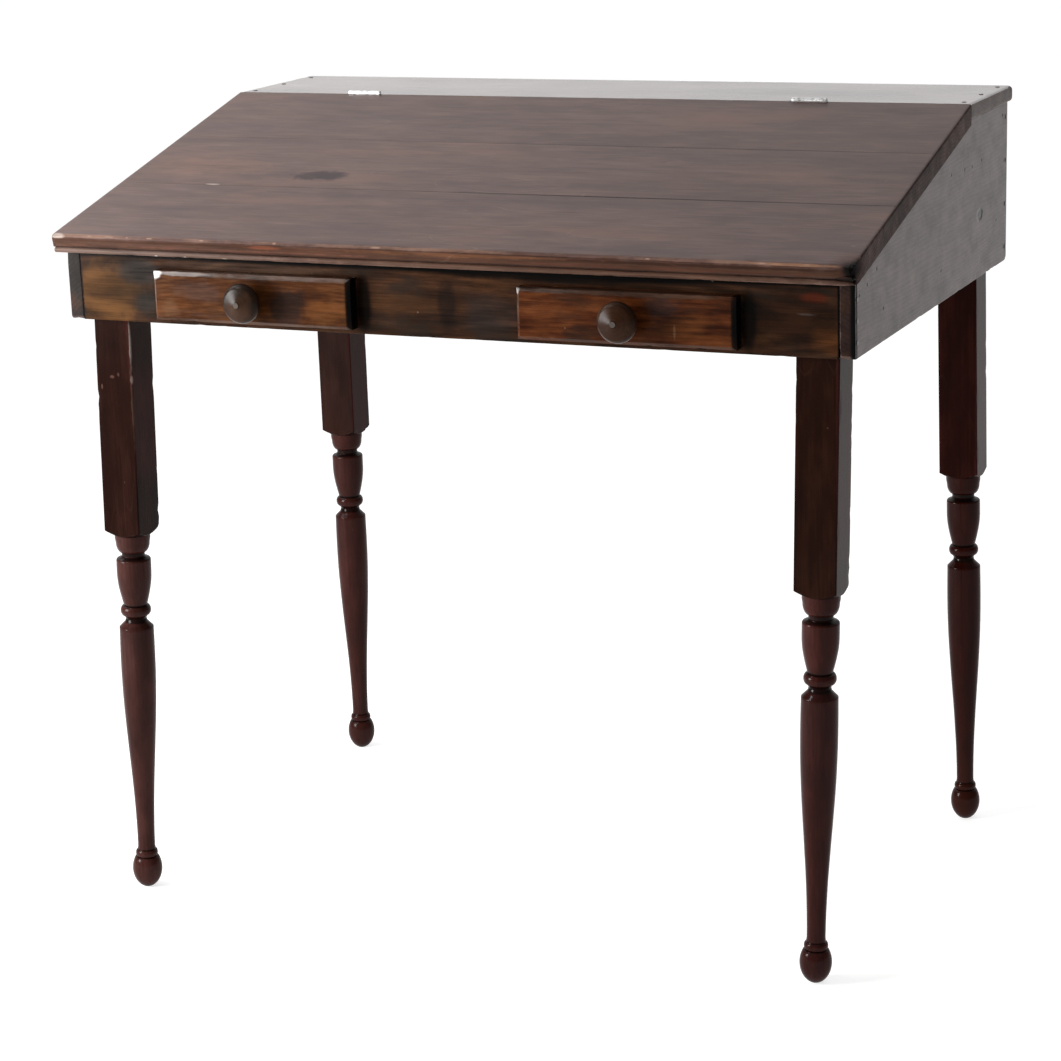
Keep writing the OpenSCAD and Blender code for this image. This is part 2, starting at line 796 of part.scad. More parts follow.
// A round knob on a short neck that widens a little against the drawer's front
module knob(side) {
    neck_angle = -acos(knob_neck_d / knob_d);
    foot_flare = 1;
    foot_l = 3;
    profile = concat(
        [[0, 0], [knob_neck_d / 2 + foot_flare, 0], [knob_neck_d / 2, foot_l]],
        ellipse_arc(0, knob_l - knob_half_t, knob_d / 2, knob_half_t, neck_angle, 90, 20));
    color([0.22, 0.18, 0.16])
        translate([side * drawer_x, front_y - front_t, front_mid_z])
            rotate([90, 0, 0])
                difference() {
                    rotate_extrude($fn = 64) polygon(profile);
                    translate([0, 0, -cut])
                        cylinder(h = knob_l + 2 * cut, r = bolt_d / 2 + bolt_play);
                    translate([0, 0, knob_l - bolt_head_l])
                        cylinder(h = bolt_head_l + cut, r = bolt_head_d / 2 + bolt_play);
                }
}

// A bolt through the knob and the drawer's front, with its nut inside the drawer
module knob_bolt(side) {
    nut_seat = front_t + tongue_t;
    past_nut = 1;
    color([0.60, 0.50, 0.42])
        translate([side * drawer_x, front_y - front_t, front_mid_z])
            rotate([90, 0, 0]) {
                translate([0, 0, knob_l - bolt_head_l])
                    cylinder(h = bolt_head_l, r = bolt_head_d / 2);
                translate([0, 0, -nut_seat - nut_t - past_nut])
                    cylinder(h = nut_seat + nut_t + past_nut + knob_l - bolt_head_l,
                             r = bolt_d / 2);
                translate([-nut_w / 2, -nut_w / 2, -nut_seat - nut_t])
                    cube([nut_w, nut_w, nut_t]);
            }
}

// Small nails through a drawer's sides into its front and its back
module drawer_nails(side) {
    low = box_z + bottom_rise + bottom_t + brad_edge;
    high = box_z + box_h - brad_edge;
    color([0.18, 0.17, 0.16])
        translate([side * drawer_x, 0, 0])
            for (edge = [-1, 1], y = [front_y + tongue_t / 2, drawer_back_y - drawer_back_t / 2])
                row(low, high, 2, [0, 0, 1])
                    driven_to_x([edge * (box_w / 2 + brad_proud), y, 0], -edge)
                        fastener(brad_d, 2 * brad_d, brad_d / 2, brad_l);
}

side_panel(-1);  // left_side_panel
side_panel(1);  // right_side_panel
back_panel();
front_apron();
top_shelf();
floor_board(0);  // floor_front_board
floor_board(1);  // floor_middle_board
floor_board(2);  // floor_back_board
floor_cleats();
leg(-post_x, front_post_y, front_left_lean);  // front_left_leg
leg(post_x, front_post_y, front_right_lean);  // front_right_leg
leg(-post_x, back_post_y, 0);  // back_left_leg
leg(post_x, back_post_y, -back_right_lean);  // back_right_leg
drawer_runners();
drawer_guides();
case_nails();
shelf_nails();
leg_screws();
hinge_leaf(left_hinge_x, 1);  // left_hinge_shelf_leaf
hinge_leaf(right_hinge_x, 1);  // right_hinge_shelf_leaf
hinge_pin(left_hinge_x);  // left_hinge_pin
hinge_pin(right_hinge_x);  // right_hinge_pin
hinge_screws(1);  // hinge_shelf_screws
lid_board(0, front_board_w);  // lid_front_board
lid_board(front_board_w, front_board_w + middle_board_w);  // lid_middle_board
lid_board(front_board_w + middle_board_w, lid_l);  // lid_back_board
lid_batten(-1);  // left_lid_batten
lid_batten(1);  // right_lid_batten
batten_screws();
hinge_leaf(left_hinge_x, -1);  // left_hinge_lid_leaf
hinge_leaf(right_hinge_x, -1);  // right_hinge_lid_leaf
hinge_screws(-1);  // hinge_lid_screws
drawer_front(-1);  // left_drawer_front
drawer_side(-1, -1);  // left_drawer_left_side
drawer_side(-1, 1);  // left_drawer_right_side
drawer_back(-1);  // left_drawer_back
drawer_bottom(-1);  // left_drawer_bottom
knob(-1);  // left_drawer_knob
knob_bolt(-1);  // left_drawer_knob_bolt
drawer_nails(-1);  // left_drawer_nails
drawer_front(1);  // right_drawer_front
drawer_side(1, -1);  // right_drawer_left_side
drawer_side(1, 1);  // right_drawer_right_side
drawer_back(1);  // right_drawer_back
drawer_bottom(1);  // right_drawer_bottom
knob(1);  // right_drawer_knob
knob_bolt(1);  // right_drawer_knob_bolt
drawer_nails(1);  // right_drawer_nails
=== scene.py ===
"""Looks of the slant top desk: worn boards, turned legs, an old dark finish and soft studio light.

Lengths are in metres and angles in radians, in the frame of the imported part: the desk's front
looks towards -Y, and the floor is at z = 0. Colours are linear light.
"""

import json
import math

import bmesh
import bpy
import numpy as np
from mathutils import Matrix, Vector, noise


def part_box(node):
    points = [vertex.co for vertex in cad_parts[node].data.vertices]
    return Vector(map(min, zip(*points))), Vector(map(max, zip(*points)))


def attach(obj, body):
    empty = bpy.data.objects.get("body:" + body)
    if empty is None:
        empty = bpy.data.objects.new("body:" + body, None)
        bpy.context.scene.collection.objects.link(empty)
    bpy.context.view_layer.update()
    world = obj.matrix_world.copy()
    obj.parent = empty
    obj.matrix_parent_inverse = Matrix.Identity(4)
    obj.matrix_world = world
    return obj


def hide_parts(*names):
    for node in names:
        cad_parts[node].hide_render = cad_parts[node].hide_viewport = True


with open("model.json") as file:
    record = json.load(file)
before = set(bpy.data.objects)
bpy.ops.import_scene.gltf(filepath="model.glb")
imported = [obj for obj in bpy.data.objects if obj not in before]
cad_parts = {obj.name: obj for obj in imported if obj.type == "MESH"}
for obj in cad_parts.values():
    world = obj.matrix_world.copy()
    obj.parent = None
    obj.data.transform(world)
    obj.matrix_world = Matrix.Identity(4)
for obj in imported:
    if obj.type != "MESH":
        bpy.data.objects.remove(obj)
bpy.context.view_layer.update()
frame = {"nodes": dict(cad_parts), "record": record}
BODY_OF = {node: body for body, nodes in frame["record"]["behaviour"]["bodies"].items()
           for node in nodes}
AXES = {"X": Vector((1, 0, 0)), "Y": Vector((0, 1, 0)), "Z": Vector((0, 0, 1))}

# Camera, fitted to points of the photograph
CAMERA_PLACE = (1.2281, -2.8131, 1.2279)
CAMERA_TURN = 0.41884
CAMERA_PITCH = 0.26480
CAMERA_ROLL = -0.03389
SENSOR_MM = 36.0
LENS_MM = 95.80

# Studio: sizes in metres, powers in watts, levels of the surroundings from dim to bright
WHITE = (1, 1, 1, 1)
FLOOR_SIZE = 60.0
FLOOR_COLOUR = (0.50, 0.50, 0.50, 1)
FLOOR_GLOW = 0.71
FLOOR_ROUGH = 0.9
FLOOR_SPECULAR = 0.2
BRIGHT_SIDE = (-0.30, 0.90, 0.32)
BRIGHT_FROM = 0.25
WORLD_LEVELS = (0.30, 1.30)

# Each light has its name, its place, the point that it faces, its size and its power
LIGHTS = [
    ("left_front_window", (-1.55, -1.35, 0.95), (-0.1, -0.2, 0.80), (0.7, 0.9), 75),
    ("left_window", (-1.25, 0.15, 1.65), (-0.1, 0.0, 0.8), (0.7, 0.8), 9),
    ("left_back_box", (-2.6, 2.6, 2.2), (0, 0, 0.8), (2.4, 2.0), 3),
    ("top_left_box", (-1.12, -0.74, 2.40), (-0.2, -0.2, 0.7), (0.35, 0.35), 11),
]

# Shape of the worn wood: its welds and creases, then its waves, nicks and gouges
WELD = 2e-6
FLAT = math.radians(0.6)
BENT = math.radians(12)
SHARP = math.radians(40)
SMOOTH = math.radians(38)
NEAR_CUTS = (0.003, 0.007)
FINER_ALONG = 0.6
END_FACING = 0.7
WEAR_SHIFT = (7.1, -3.3, 5.7)
WAVE_SCALE = 5.0
NICK_SCALE = 110.0
NICK_FLOOR = 0.25
NICK_REACH = 0.003
GOUGE_FINER = 3
EDGE_REACH = 0.0028

# Turned pieces: their sides, an outline's smallest steps, the turning's faults, a full crest
TURNED_SIDES = 72
OUTLINE_DIGITS = 5
OUTLINE_STEP = 5e-5
FAULT_SCALE = 40
FAULT_SHIFT = (2.3, 1.9, -1)
FULL_CREST = math.radians(50)

# Legs and lid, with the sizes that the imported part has
LEAN_HEIGHT = 0.667
BLOCK_HALF = 0.0225
BLOCK_END = 0.420
LID_SLOPE = math.radians(13.576)

# Worn legs: how far the turning runs into the block, the block's bevel, cuts, waves and nicks
TURNING_GAP = 0.0001
TURNING_SINK = 0.004
UPRIGHT = 0.9
LEG_BEVEL = 0.0016
LEG_STEPS = (("Z", 0.008), ("X", 0.012), ("Y", 0.012))
LEG_WAVE = 0.0003
LEG_NICK = 0.003

# Knobs: the face's two radii, its fall and its rings, how deep the bolt sits, the faults
FACE_INNER = 0.0032
FACE_OUTER = 0.017
FACE_DROP = 0.005
FACE_RINGS = 12
BOLT_SEAT = 0.0018
KNOB_FAULT = 0.0001


def aimed(place, target):
    """The matrix of a lamp at a place, whose -Z looks at a target."""
    back = (Vector(place) - Vector(target)).normalized()
    turn = back.to_track_quat("Z", "Y").to_matrix().to_4x4()
    return Matrix.Translation(place) @ turn


def add_camera():
    """The photograph's view."""
    turn, pitch = CAMERA_TURN, CAMERA_PITCH
    forward = Vector((-math.sin(turn) * math.cos(pitch), math.cos(turn) * math.cos(pitch),
                      -math.sin(pitch)))
    level = Vector((math.cos(turn), math.sin(turn), 0))
    up = level.cross(forward)
    right = math.cos(CAMERA_ROLL) * level + math.sin(CAMERA_ROLL) * up
    up = -math.sin(CAMERA_ROLL) * level + math.cos(CAMERA_ROLL) * up
    data = bpy.data.cameras.new("camera")
    data.sensor_width = SENSOR_MM
    data.lens = LENS_MM
    camera = bpy.data.objects.new("camera", data)
    columns = Matrix((right, up, -forward)).transposed().to_4x4()
    camera.matrix_world = Matrix.Translation(CAMERA_PLACE) @ columns
    bpy.context.scene.collection.objects.link(camera)
    bpy.context.scene.camera = camera


def add_light(name, place, target, size, power):
    """A soft box that the camera doesn't see."""
    data = bpy.data.lights.new(name, "AREA")
    data.shape = "RECTANGLE"
    data.size, data.size_y = size
    data.energy = power
    lamp = bpy.data.objects.new(name, data)
    lamp.matrix_world = aimed(place, target)
    lamp.visible_camera = False
    bpy.context.scene.collection.objects.link(lamp)


def add_world():
    """White surroundings, brightest behind the desk and dim on the camera's side."""
    world = bpy.data.worlds.new("studio")
    world.use_nodes = True
    nodes, links = world.node_tree.nodes, world.node_tree.links
    direction = nodes.new("ShaderNodeTexCoord").outputs["Generated"]
    facing = nodes.new("ShaderNodeVectorMath")
    facing.operation = "DOT_PRODUCT"
    links.new(direction, facing.inputs[0])
    facing.inputs[1].default_value = BRIGHT_SIDE
    level = nodes.new("ShaderNodeMapRange")
    level.interpolation_type = "SMOOTHSTEP"
    links.new(facing.outputs["Value"], level.inputs["Value"])
    level.inputs["From Min"].default_value = BRIGHT_FROM
    level.inputs["To Min"].default_value, level.inputs["To Max"].default_value = WORLD_LEVELS
    links.new(level.outputs[0], nodes["Background"].inputs["Strength"])
    nodes["Background"].inputs["Color"].default_value = WHITE
    bpy.context.scene.world = world
    bpy.context.scene.view_settings.view_transform = "Standard"


def add_floor():
    """A plain pale floor."""
    half = FLOOR_SIZE / 2
    mesh = bpy.data.meshes.new("floor")
    mesh.from_pydata([(-half, -half, 0), (half, -half, 0), (half, half, 0), (-half, half, 0)],
                     [], [(0, 1, 2, 3)])
    floor = bpy.data.objects.new("floor", mesh)
    bpy.context.scene.collection.objects.link(floor)
    paint = bpy.data.materials.new("floor_paint")
    paint.use_nodes = True
    shader = paint.node_tree.nodes["Principled BSDF"]
    shader.inputs["Base Color"].default_value = FLOOR_COLOUR
    shader.inputs["Emission Color"].default_value = WHITE
    shader.inputs["Emission Strength"].default_value = FLOOR_GLOW
    shader.inputs["Roughness"].default_value = FLOOR_ROUGH
    shader.inputs["Specular IOR Level"].default_value = FLOOR_SPECULAR
    mesh.materials.append(paint)


class Shading:
    """One material's nodes. Each call adds a node and returns its output socket."""

    def __init__(self, name):
        self.material = bpy.data.materials.new(name)
        self.material.use_nodes = True
        self.tree = self.material.node_tree
        self.shader = self.tree.nodes["Principled BSDF"]
        coordinates = self.add("ShaderNodeTexCoord")
        self.place = coordinates.outputs["Object"]
        self.normal = coordinates.outputs["Normal"]

    def add(self, kind, **settings):
        node = self.tree.nodes.new(kind)
        for name, value in settings.items():
            setattr(node, name, value)
        return node

    def put(self, socket, value):
        """Gives a socket a number or colour, or links another socket to it."""
        if isinstance(value, bpy.types.NodeSocket):
            self.tree.links.new(value, socket)
        else:
            socket.default_value = value

    def set(self, name, value):
        self.put(self.shader.inputs[name], value)

    def attribute(self, name):
        return self.add("ShaderNodeAttribute", attribute_name=name).outputs["Fac"]

    def math(self, operation, *values, clamp=False):
        node = self.add("ShaderNodeMath", operation=operation, use_clamp=clamp)
        for socket, value in zip(node.inputs, values):
            self.put(socket, value)
        return node.outputs[0]

    def vector(self, operation, *values):
        node = self.add("ShaderNodeVectorMath", operation=operation)
        for socket, value in zip(node.inputs, values):
            self.put(socket, value)
        return node.outputs["Value" if operation == "LENGTH" else "Vector"]

    def mapped(self, vector, scale, shift=(0, 0, 0), turn=(0, 0, 0)):
        node = self.add("ShaderNodeMapping")
        self.put(node.inputs["Vector"], vector)
        node.inputs["Location"].default_value = shift
        node.inputs["Rotation"].default_value = turn
        node.inputs["Scale"].default_value = scale
        return node.outputs["Vector"]

    def noise(self, vector, detail=2.0, roughness=0.5, distortion=0.0, colour=False):
        node = self.add("ShaderNodeTexNoise")
        self.put(node.inputs["Vector"], vector)
        node.inputs["Scale"].default_value = 1.0
        node.inputs["Detail"].default_value = detail
        node.inputs["Roughness"].default_value = roughness
        node.inputs["Distortion"].default_value = distortion
        return node.outputs["Color" if colour else "Fac"]

    def cells(self, vector):
        """Distance to the nearest of scattered points, and a random number for that point."""
        node = self.add("ShaderNodeTexVoronoi")
        self.put(node.inputs["Vector"], vector)
        node.inputs["Scale"].default_value = 1.0
        split = self.add("ShaderNodeSeparateColor")
        self.put(split.inputs[0], node.outputs["Color"])
        return node.outputs["Distance"], split.outputs[0]

    def spread(self, value, low, high, to_low=0.0, to_high=1.0):
        """A smooth step from to_low below low to to_high above high."""
        node = self.add("ShaderNodeMapRange", interpolation_type="SMOOTHSTEP")
        for socket, number in zip(node.inputs, (value, low, high, to_low, to_high)):
            self.put(socket, number)
        return node.outputs[0]

    def blend(self, factor, first, second, mode="MIX"):
        node = self.add("ShaderNodeMix", data_type="RGBA", blend_type=mode)
        for index, value in ((0, factor), (6, first), (7, second)):
            if isinstance(value, tuple):
                value = (*value, 1)
            self.put(node.inputs[index], value)
        return node.outputs[2]

    def ramp(self, value, *stops):
        """A colour that runs through evenly spaced stops."""
        node = self.add("ShaderNodeValToRGB")
        elements = node.color_ramp.elements
        while len(elements) < len(stops):
            elements.new(0.5)
        for index, colour in enumerate(stops):
            elements[index].position = index / (len(stops) - 1)
            elements[index].color = (*colour, 1)
        self.put(node.inputs[0], value)
        return node.outputs[0]

    def bump(self, height, depth):
        """Relief of the surface, with the depth of a full step in metres."""
        node = self.add("ShaderNodeBump")
        node.inputs["Strength"].default_value = 1.0
        node.inputs["Distance"].default_value = depth
        self.put(node.inputs["Height"], height)
        self.set("Normal", node.outputs[0])

    def weighted(self, *pairs):
        """The sum of values times weights."""
        total = None
        for value, weight in pairs:
            part = self.math("MULTIPLY", value, weight)
            total = part if total is None else self.math("ADD", total, part)
        return total


# Patterns of the woods. Scales are waves per metre, and pairs go along and across the grain
SEED_SHIFT = (3.7, 1.3, 2.9)
WARP_SCALE = (2.5, 9)
CLOUD_SCALE = (3.5, 9)
PATCH_SCALE = (18, 60)
RAGGED_SCALE = (30, 120)
HAIR_SCALE = (5, 26)
HAIR_TURN = (0.3, 0.4, 0.35)
FIBRE_ACROSS = 480
STREAK_ASPECT = 28
WOBBLE_SCALE = 45
LONG_WEAR_SCALE = 7
FLECK_SCALE = 75

# Effects of the patterns: a pair has the two values between which one fades in or out
RING_RANGE = (-0.6, 1.0)
GRIME_RANGE = (0.50, 0.68)
WARM_RANGE = (0.32, 0.48)
END_RANGE = (0.6, 0.9)
CREVICE_RANGE = (0.55, 0.95)
CREVICE_PART = 0.85
WEAR_WIDTH = 0.3
MARK_RANGE = (0.55, 1.15)
MARK_STEEPNESS = 1.2
MARK_LEAST = 0.4
FLECK_SIZE = (0.05, 0.10)
FLECK_PICK = (0.94, 0.95)
HAIR_WIDTH = 0.006
HAIR_CLOUD = (0.52, 0.62)
COAT_ROUGH = 0.09


def grain_scale(grain, along, across):
    """A scale per axis, with one value along the grain and another across it."""
    return tuple(along if axis == grain else across for axis in "XYZ")


class Wood(Shading):
    """Patterns of one piece of wood, along its grain and unlike those of its neighbours."""

    def __init__(self, name, grain, seed, look):
        super().__init__(name)
        self.grain = grain
        self.look = look
        self.shift = tuple(seed * part for part in SEED_SHIFT)
        along = look["streak_l"]
        self.fibre = self.noise(self.grained(look["fibre_l"], FIBRE_ACROSS), 5, 0.72)
        self.streak = self.noise(self.grained(along, along * STREAK_ASPECT), 4, 0.6, 0.3)
        self.cloud = self.noise(self.grained(*CLOUD_SCALE), 4, 0.6)
        self.mottle = self.noise(self.grained(*look["mottle"]), 5, 0.62)
        self.wobble = self.noise(self.even(WOBBLE_SCALE), 4, 0.6)
        self.ring = self.rings()
        self.tone = self.tones()

    def grained(self, along, across):
        return self.mapped(self.place, grain_scale(self.grain, along, across), self.shift)

    def even(self, scale):
        return self.mapped(self.place, (scale,) * 3, self.shift)

    def rings(self):
        """Growth rings round the tree's heart, a little warped."""
        look = self.look
        warp = self.noise(self.grained(*WARP_SCALE), 2, colour=True)
        warp = self.vector("SUBTRACT", warp, (0.5, 0.5, 0.5))
        bent = self.vector("ADD", self.vector("SUBTRACT", self.place, look["heart"]),
                           self.vector("MULTIPLY", warp, (look["warp"],) * 3))
        from_heart = self.vector("LENGTH", self.vector(
            "MULTIPLY", bent, grain_scale(self.grain, look["taper"], 1.0)))
        wave = self.math("SINE", self.math("MULTIPLY", from_heart, 2 * math.pi / look["ring"]))
        return self.spread(wave, *RING_RANGE)

    def tones(self):
        """From 0 in the darkest wood to 1 in the lightest."""
        look = self.look
        patch = self.noise(self.grained(*PATCH_SCALE), 3, 0.6)
        layers = [(self.fibre, look["fibre"]), (self.streak, look["streak"]),
                  (self.ring, look["rings"]), (self.cloud, look["cloud"]), (patch, look["patch"])]
        middle = sum(part for _, part in layers) / 2
        return self.math("SUBTRACT", self.weighted(*layers), middle - 0.5, clamp=True)

    def end_grain(self):
        """Where the surface faces along the grain."""
        parts = self.add("ShaderNodeSeparateXYZ")
        self.put(parts.inputs[0], self.normal)
        facing = self.math("ABSOLUTE", parts.outputs[self.grain])
        return self.spread(facing, *END_RANGE, 0.0, self.look["end_part"])

    def crevices(self):
        """Where old finish and dirt fill the hollows."""
        hollow = self.weighted((self.attribute("hollow"), 1.0), (self.wobble, 0.5))
        return self.math("MULTIPLY", self.spread(hollow, *CREVICE_RANGE), CREVICE_PART)

    def rubbed_edges(self):
        """Where hands have rubbed the finish off the edges."""
        ragged = self.noise(self.grained(*RAGGED_SCALE), 4, 0.7)
        long_wear = self.noise(self.even(LONG_WEAR_SCALE), 2)
        wear = self.weighted((self.attribute("edge"), 1.0), (ragged, 0.9), (long_wear, 1.1))
        start = self.look["wear_from"]
        return self.spread(wear, start, start + WEAR_WIDTH, 0, self.look["wear_part"])

    def reach_of(self, mark):
        """How far a mark reaches, from its part at its middle to 0 outside it."""
        middle, size, _, part, ragged = mark
        away = self.mapped(self.vector("SUBTRACT", self.place, middle),
                           tuple(1 / half for half in size))
        wobble = self.math("MULTIPLY", self.math("SUBTRACT", self.wobble, 0.5), ragged)
        return self.spread(self.math("ADD", self.vector("LENGTH", away), wobble), *MARK_RANGE,
                           part, 0.0)

    def flecks(self):
        """Small spots where the finish is gone."""
        distance, pick = self.cells(self.even(FLECK_SCALE))
        return self.math("MULTIPLY", self.spread(distance, *FLECK_SIZE, 1, 0),
                         self.spread(pick, *FLECK_PICK), clamp=True)

    def hairs(self):
        """Fine scratches, in the lighter clouds only."""
        hair = self.noise(self.mapped(self.place, grain_scale(self.grain, *HAIR_SCALE), self.shift,
                                      turn=HAIR_TURN), 1)
        line = self.math("ABSOLUTE", self.math("SUBTRACT", hair, 0.5))
        return self.math("MULTIPLY", self.spread(line, 0.0, HAIR_WIDTH, 1, 0),
                         self.spread(self.cloud, *HAIR_CLOUD))


def wood(name, grain, seed, look, marks=()):
    """The material of an old finished piece of wood, with its marks."""
    s = Wood(name, grain, seed, look)
    colour = s.ramp(s.tone, *look["stops"])
    grime = s.spread(s.mottle, *GRIME_RANGE, 0.0, look["grime_part"])
    colour = s.blend(grime, colour, look["grime"])
    warm = s.spread(s.mottle, *WARM_RANGE, look["warm_part"], 0.0)
    colour = s.blend(warm, colour, look["warm"])
    end = s.end_grain()
    colour = s.blend(end, colour, look["end"])
    colour = s.blend(s.crevices(), colour, look["crevice"])
    rubbed = s.rubbed_edges()
    colour = s.blend(rubbed, colour, look["worn"])

    shade = s.math("ADD", s.math("MULTIPLY", s.tone, MARK_STEEPNESS), MARK_LEAST)
    reaches = [s.reach_of(mark) for mark in marks]
    for (_, _, mark_colour, _, _), reach in zip(marks, reaches):
        colour = s.blend(reach, colour, s.blend(1.0, mark_colour, shade, "MULTIPLY"))
    fleck = s.flecks()
    colour = s.blend(s.math("MULTIPLY", fleck, look["fleck_part"]), colour, look["fleck"])
    hair = s.hairs()
    colour = s.blend(s.math("MULTIPLY", hair, look["scratch_part"]), colour, look["worn"])
    s.set("Base Color", colour)

    rough = s.weighted((s.mottle, look["rough_vary"]), (rubbed, 0.10), (s.fibre, 0.10), (end, 0.2))
    rough = s.math("ADD", rough, look["rough"] - look["rough_vary"] / 2 - 0.05, clamp=True)
    s.set("Roughness", rough)
    s.set("IOR", look["ior"])
    s.set("Coat Weight", look["coat"])
    s.set("Coat Roughness", COAT_ROUGH)
    relief = s.weighted((s.fibre, 0.6), (s.ring, 0.1), (s.streak, 0.3), (fleck, -0.8), (hair, -0.4))
    if look["pits"] and reaches:
        relief = s.math("ADD", relief, s.weighted(*((reach, -look["pits"]) for reach in reaches)))
    s.bump(relief, look["relief"])
    return s.material


def changed(look, **changes):
    """A look with some of its values changed."""
    return {**look, **changes}


# Looks of the woods: fibre, streak, rings, cloud and patch are the weights of those patterns
OLD_FINISH = {
    "heart": (0.1, 0.05, 0.2), "warp": 0.03, "taper": 0.05, "ring": 0.004,
    "fibre_l": 14, "streak_l": 2.0, "fibre": 1.0, "streak": 0.8, "rings": 0.15, "cloud": 0.6,
    "patch": 0.3,
    "stops": [(0.020, 0.009, 0.006), (0.045, 0.020, 0.012), (0.080, 0.036, 0.020)],
    "mottle": (5, 9), "grime": (0.018, 0.015, 0.012), "grime_part": 0.5,
    "warm": (0.08, 0.03, 0.012), "warm_part": 0.3,
    "end": (0.012, 0.009, 0.008), "end_part": 0.7, "crevice": (0.003, 0.0015, 0.001),
    "worn": (0.10, 0.055, 0.038), "wear_from": 1.9, "wear_part": 0.7,
    "fleck": (0.16, 0.12, 0.09), "fleck_part": 0.35, "scratch_part": 0.15,
    "rough": 0.30, "rough_vary": 0.12, "ior": 1.45, "relief": 0.00015, "pits": 0.0, "coat": 0.0,
}
LID_LOOK = changed(
    OLD_FINISH, stops=[(0.046, 0.026, 0.022), (0.082, 0.047, 0.040), (0.124, 0.075, 0.062)],
    fibre=1.4, streak=0.5, rings=0.03, cloud=0.7, patch=0.9, mottle=(4, 15),
    grime=(0.050, 0.034, 0.036), grime_part=0.4, warm=(0.124, 0.061, 0.046), warm_part=0.6,
    relief=0.00008, rough=0.36, ior=1.18, worn=(0.19, 0.11, 0.080), wear_from=1.80,
    fibre_l=20, streak_l=3.0, scratch_part=0.3, end_part=0.0)
DARK_END_LOOK = changed(
    OLD_FINISH, stops=[(0.006, 0.002, 0.0015), (0.030, 0.013, 0.010), (0.070, 0.042, 0.036)],
    ior=1.09, rough=0.45, fibre=0.8, streak=1.0, cloud=1.0, patch=1.2, end_part=0.0,
    wear_from=1.7, worn=(0.09, 0.06, 0.05), mottle=(20, 20), relief=0.0003)
SHELF_END_LOOK = changed(DARK_END_LOOK, ior=1.26)
LEFT_END_LOOK = changed(
    DARK_END_LOOK, ior=1.12,
    stops=[(0.011, 0.009, 0.008), (0.0185, 0.015, 0.0136), (0.030, 0.026, 0.024)])
RIGHT_END_LOOK = changed(
    DARK_END_LOOK, ior=1.12,
    stops=[(0.009, 0.004, 0.003), (0.0165, 0.009, 0.0073), (0.028, 0.018, 0.015)])
SHELF_LOOK = changed(
    OLD_FINISH, stops=[(0.045, 0.028, 0.023), (0.075, 0.045, 0.038), (0.100, 0.062, 0.052)],
    rough=0.26, relief=0.00006, ior=1.475, fibre=0.6, streak=0.5, wear_from=2.0,
    end_part=0.0)
PANEL_LOOK = changed(
    OLD_FINISH, stops=[(0.012, 0.006, 0.005), (0.050, 0.030, 0.027), (0.095, 0.064, 0.058)],
    fibre=1.1, streak=0.3, cloud=0.5, patch=0.8, rough=0.34, rough_vary=0.2, ior=1.26,
    streak_l=1.4, relief=0.0003, mottle=(30, 45), grime=(0.016, 0.010, 0.009), grime_part=0.4,
    warm=(0.090, 0.042, 0.034), wear_from=2.0, end_part=0.0, pits=7.0)
APRON_LOOK = changed(
    OLD_FINISH, stops=[(0.008, 0.004, 0.0022), (0.0225, 0.0092, 0.0045), (0.052, 0.022, 0.010)],
    heart=(-0.02, -0.24, 0.70), ring=0.007, warp=0.05, taper=0.10, rings=0.3, fibre=1.3,
    streak=0.5, cloud=0.8, patch=1.2, ior=1.12, rough=0.28, mottle=(12, 30),
    grime=(0.012, 0.009, 0.007), grime_part=0.7, warm=(0.055, 0.022, 0.008), warm_part=0.5,
    worn=(0.05, 0.035, 0.030), wear_from=2.0, wear_part=0.5)
DRAWER_LOOK = changed(
    OLD_FINISH, stops=[(0.013, 0.0036, 0.0010), (0.039, 0.0125, 0.0036), (0.085, 0.031, 0.0105)],
    ring=0.005, warp=0.07, taper=0.2, rings=0.12, fibre=1.3, streak=0.7, cloud=1.0, patch=1.7,
    fibre_l=22, streak_l=4, ior=1.135, rough=0.26, mottle=(14, 34), wear_from=2.0, wear_part=0.4,
    grime=(0.020, 0.009, 0.005), warm=(0.085, 0.027, 0.007), worn=(0.07, 0.045, 0.038))
RED_DRAWER_LOOK = changed(
    DRAWER_LOOK, stops=[(0.014, 0.003, 0.0008), (0.049, 0.0125, 0.0033), (0.104, 0.033, 0.0098)])
LEG_LOOK = changed(
    OLD_FINISH, stops=[(0.0035, 0.0009, 0.0005), (0.0092, 0.0025, 0.0014), (0.022, 0.007, 0.0045)],
    fibre_l=8, fibre=0.7, streak=0.4, patch=1.0, rings=0.04, ior=1.10, rough=0.26,
    worn=(0.05, 0.022, 0.016), relief=0.00005, grime_part=0.3, grime=(0.006, 0.0028, 0.0022),
    warm=(0.026, 0.008, 0.005), end=(0.004, 0.002, 0.002), wear_from=1.95, wear_part=0.6,
    fleck=(0.09, 0.05, 0.04))
# Lit and shaded copies of the leg look: painted darker for the front right leg and lighter for the
# back left leg
LEG_LOOK_PAINTED_DARKER = changed(
    LEG_LOOK, stops=[(0.0040, 0.0011, 0.0005), (0.0105, 0.0030, 0.0014), (0.024, 0.008, 0.0042)])
LEG_LOOK_PAINTED_LIGHTER = changed(
    LEG_LOOK, stops=[(0.006, 0.0022, 0.0016), (0.0115, 0.0046, 0.0034), (0.021, 0.009, 0.007)])
RED_LEG_LOOK = changed(
    LEG_LOOK, stops=[(0.004, 0.0006, 0.0003), (0.0105, 0.0016, 0.0008), (0.026, 0.005, 0.0030)])
KNOB_LOOK = changed(
    OLD_FINISH, stops=[(0.005, 0.0022, 0.0012), (0.012, 0.0062, 0.0034), (0.026, 0.015, 0.009)],
    warp=0.002, taper=0.0, ring=0.0041, rings=0.10, fibre=0.6, streak=0.8, rough=0.31,
    relief=0.00003, wear_from=2.0, end_part=0.0, ior=1.19, worn=(0.04, 0.03, 0.024))
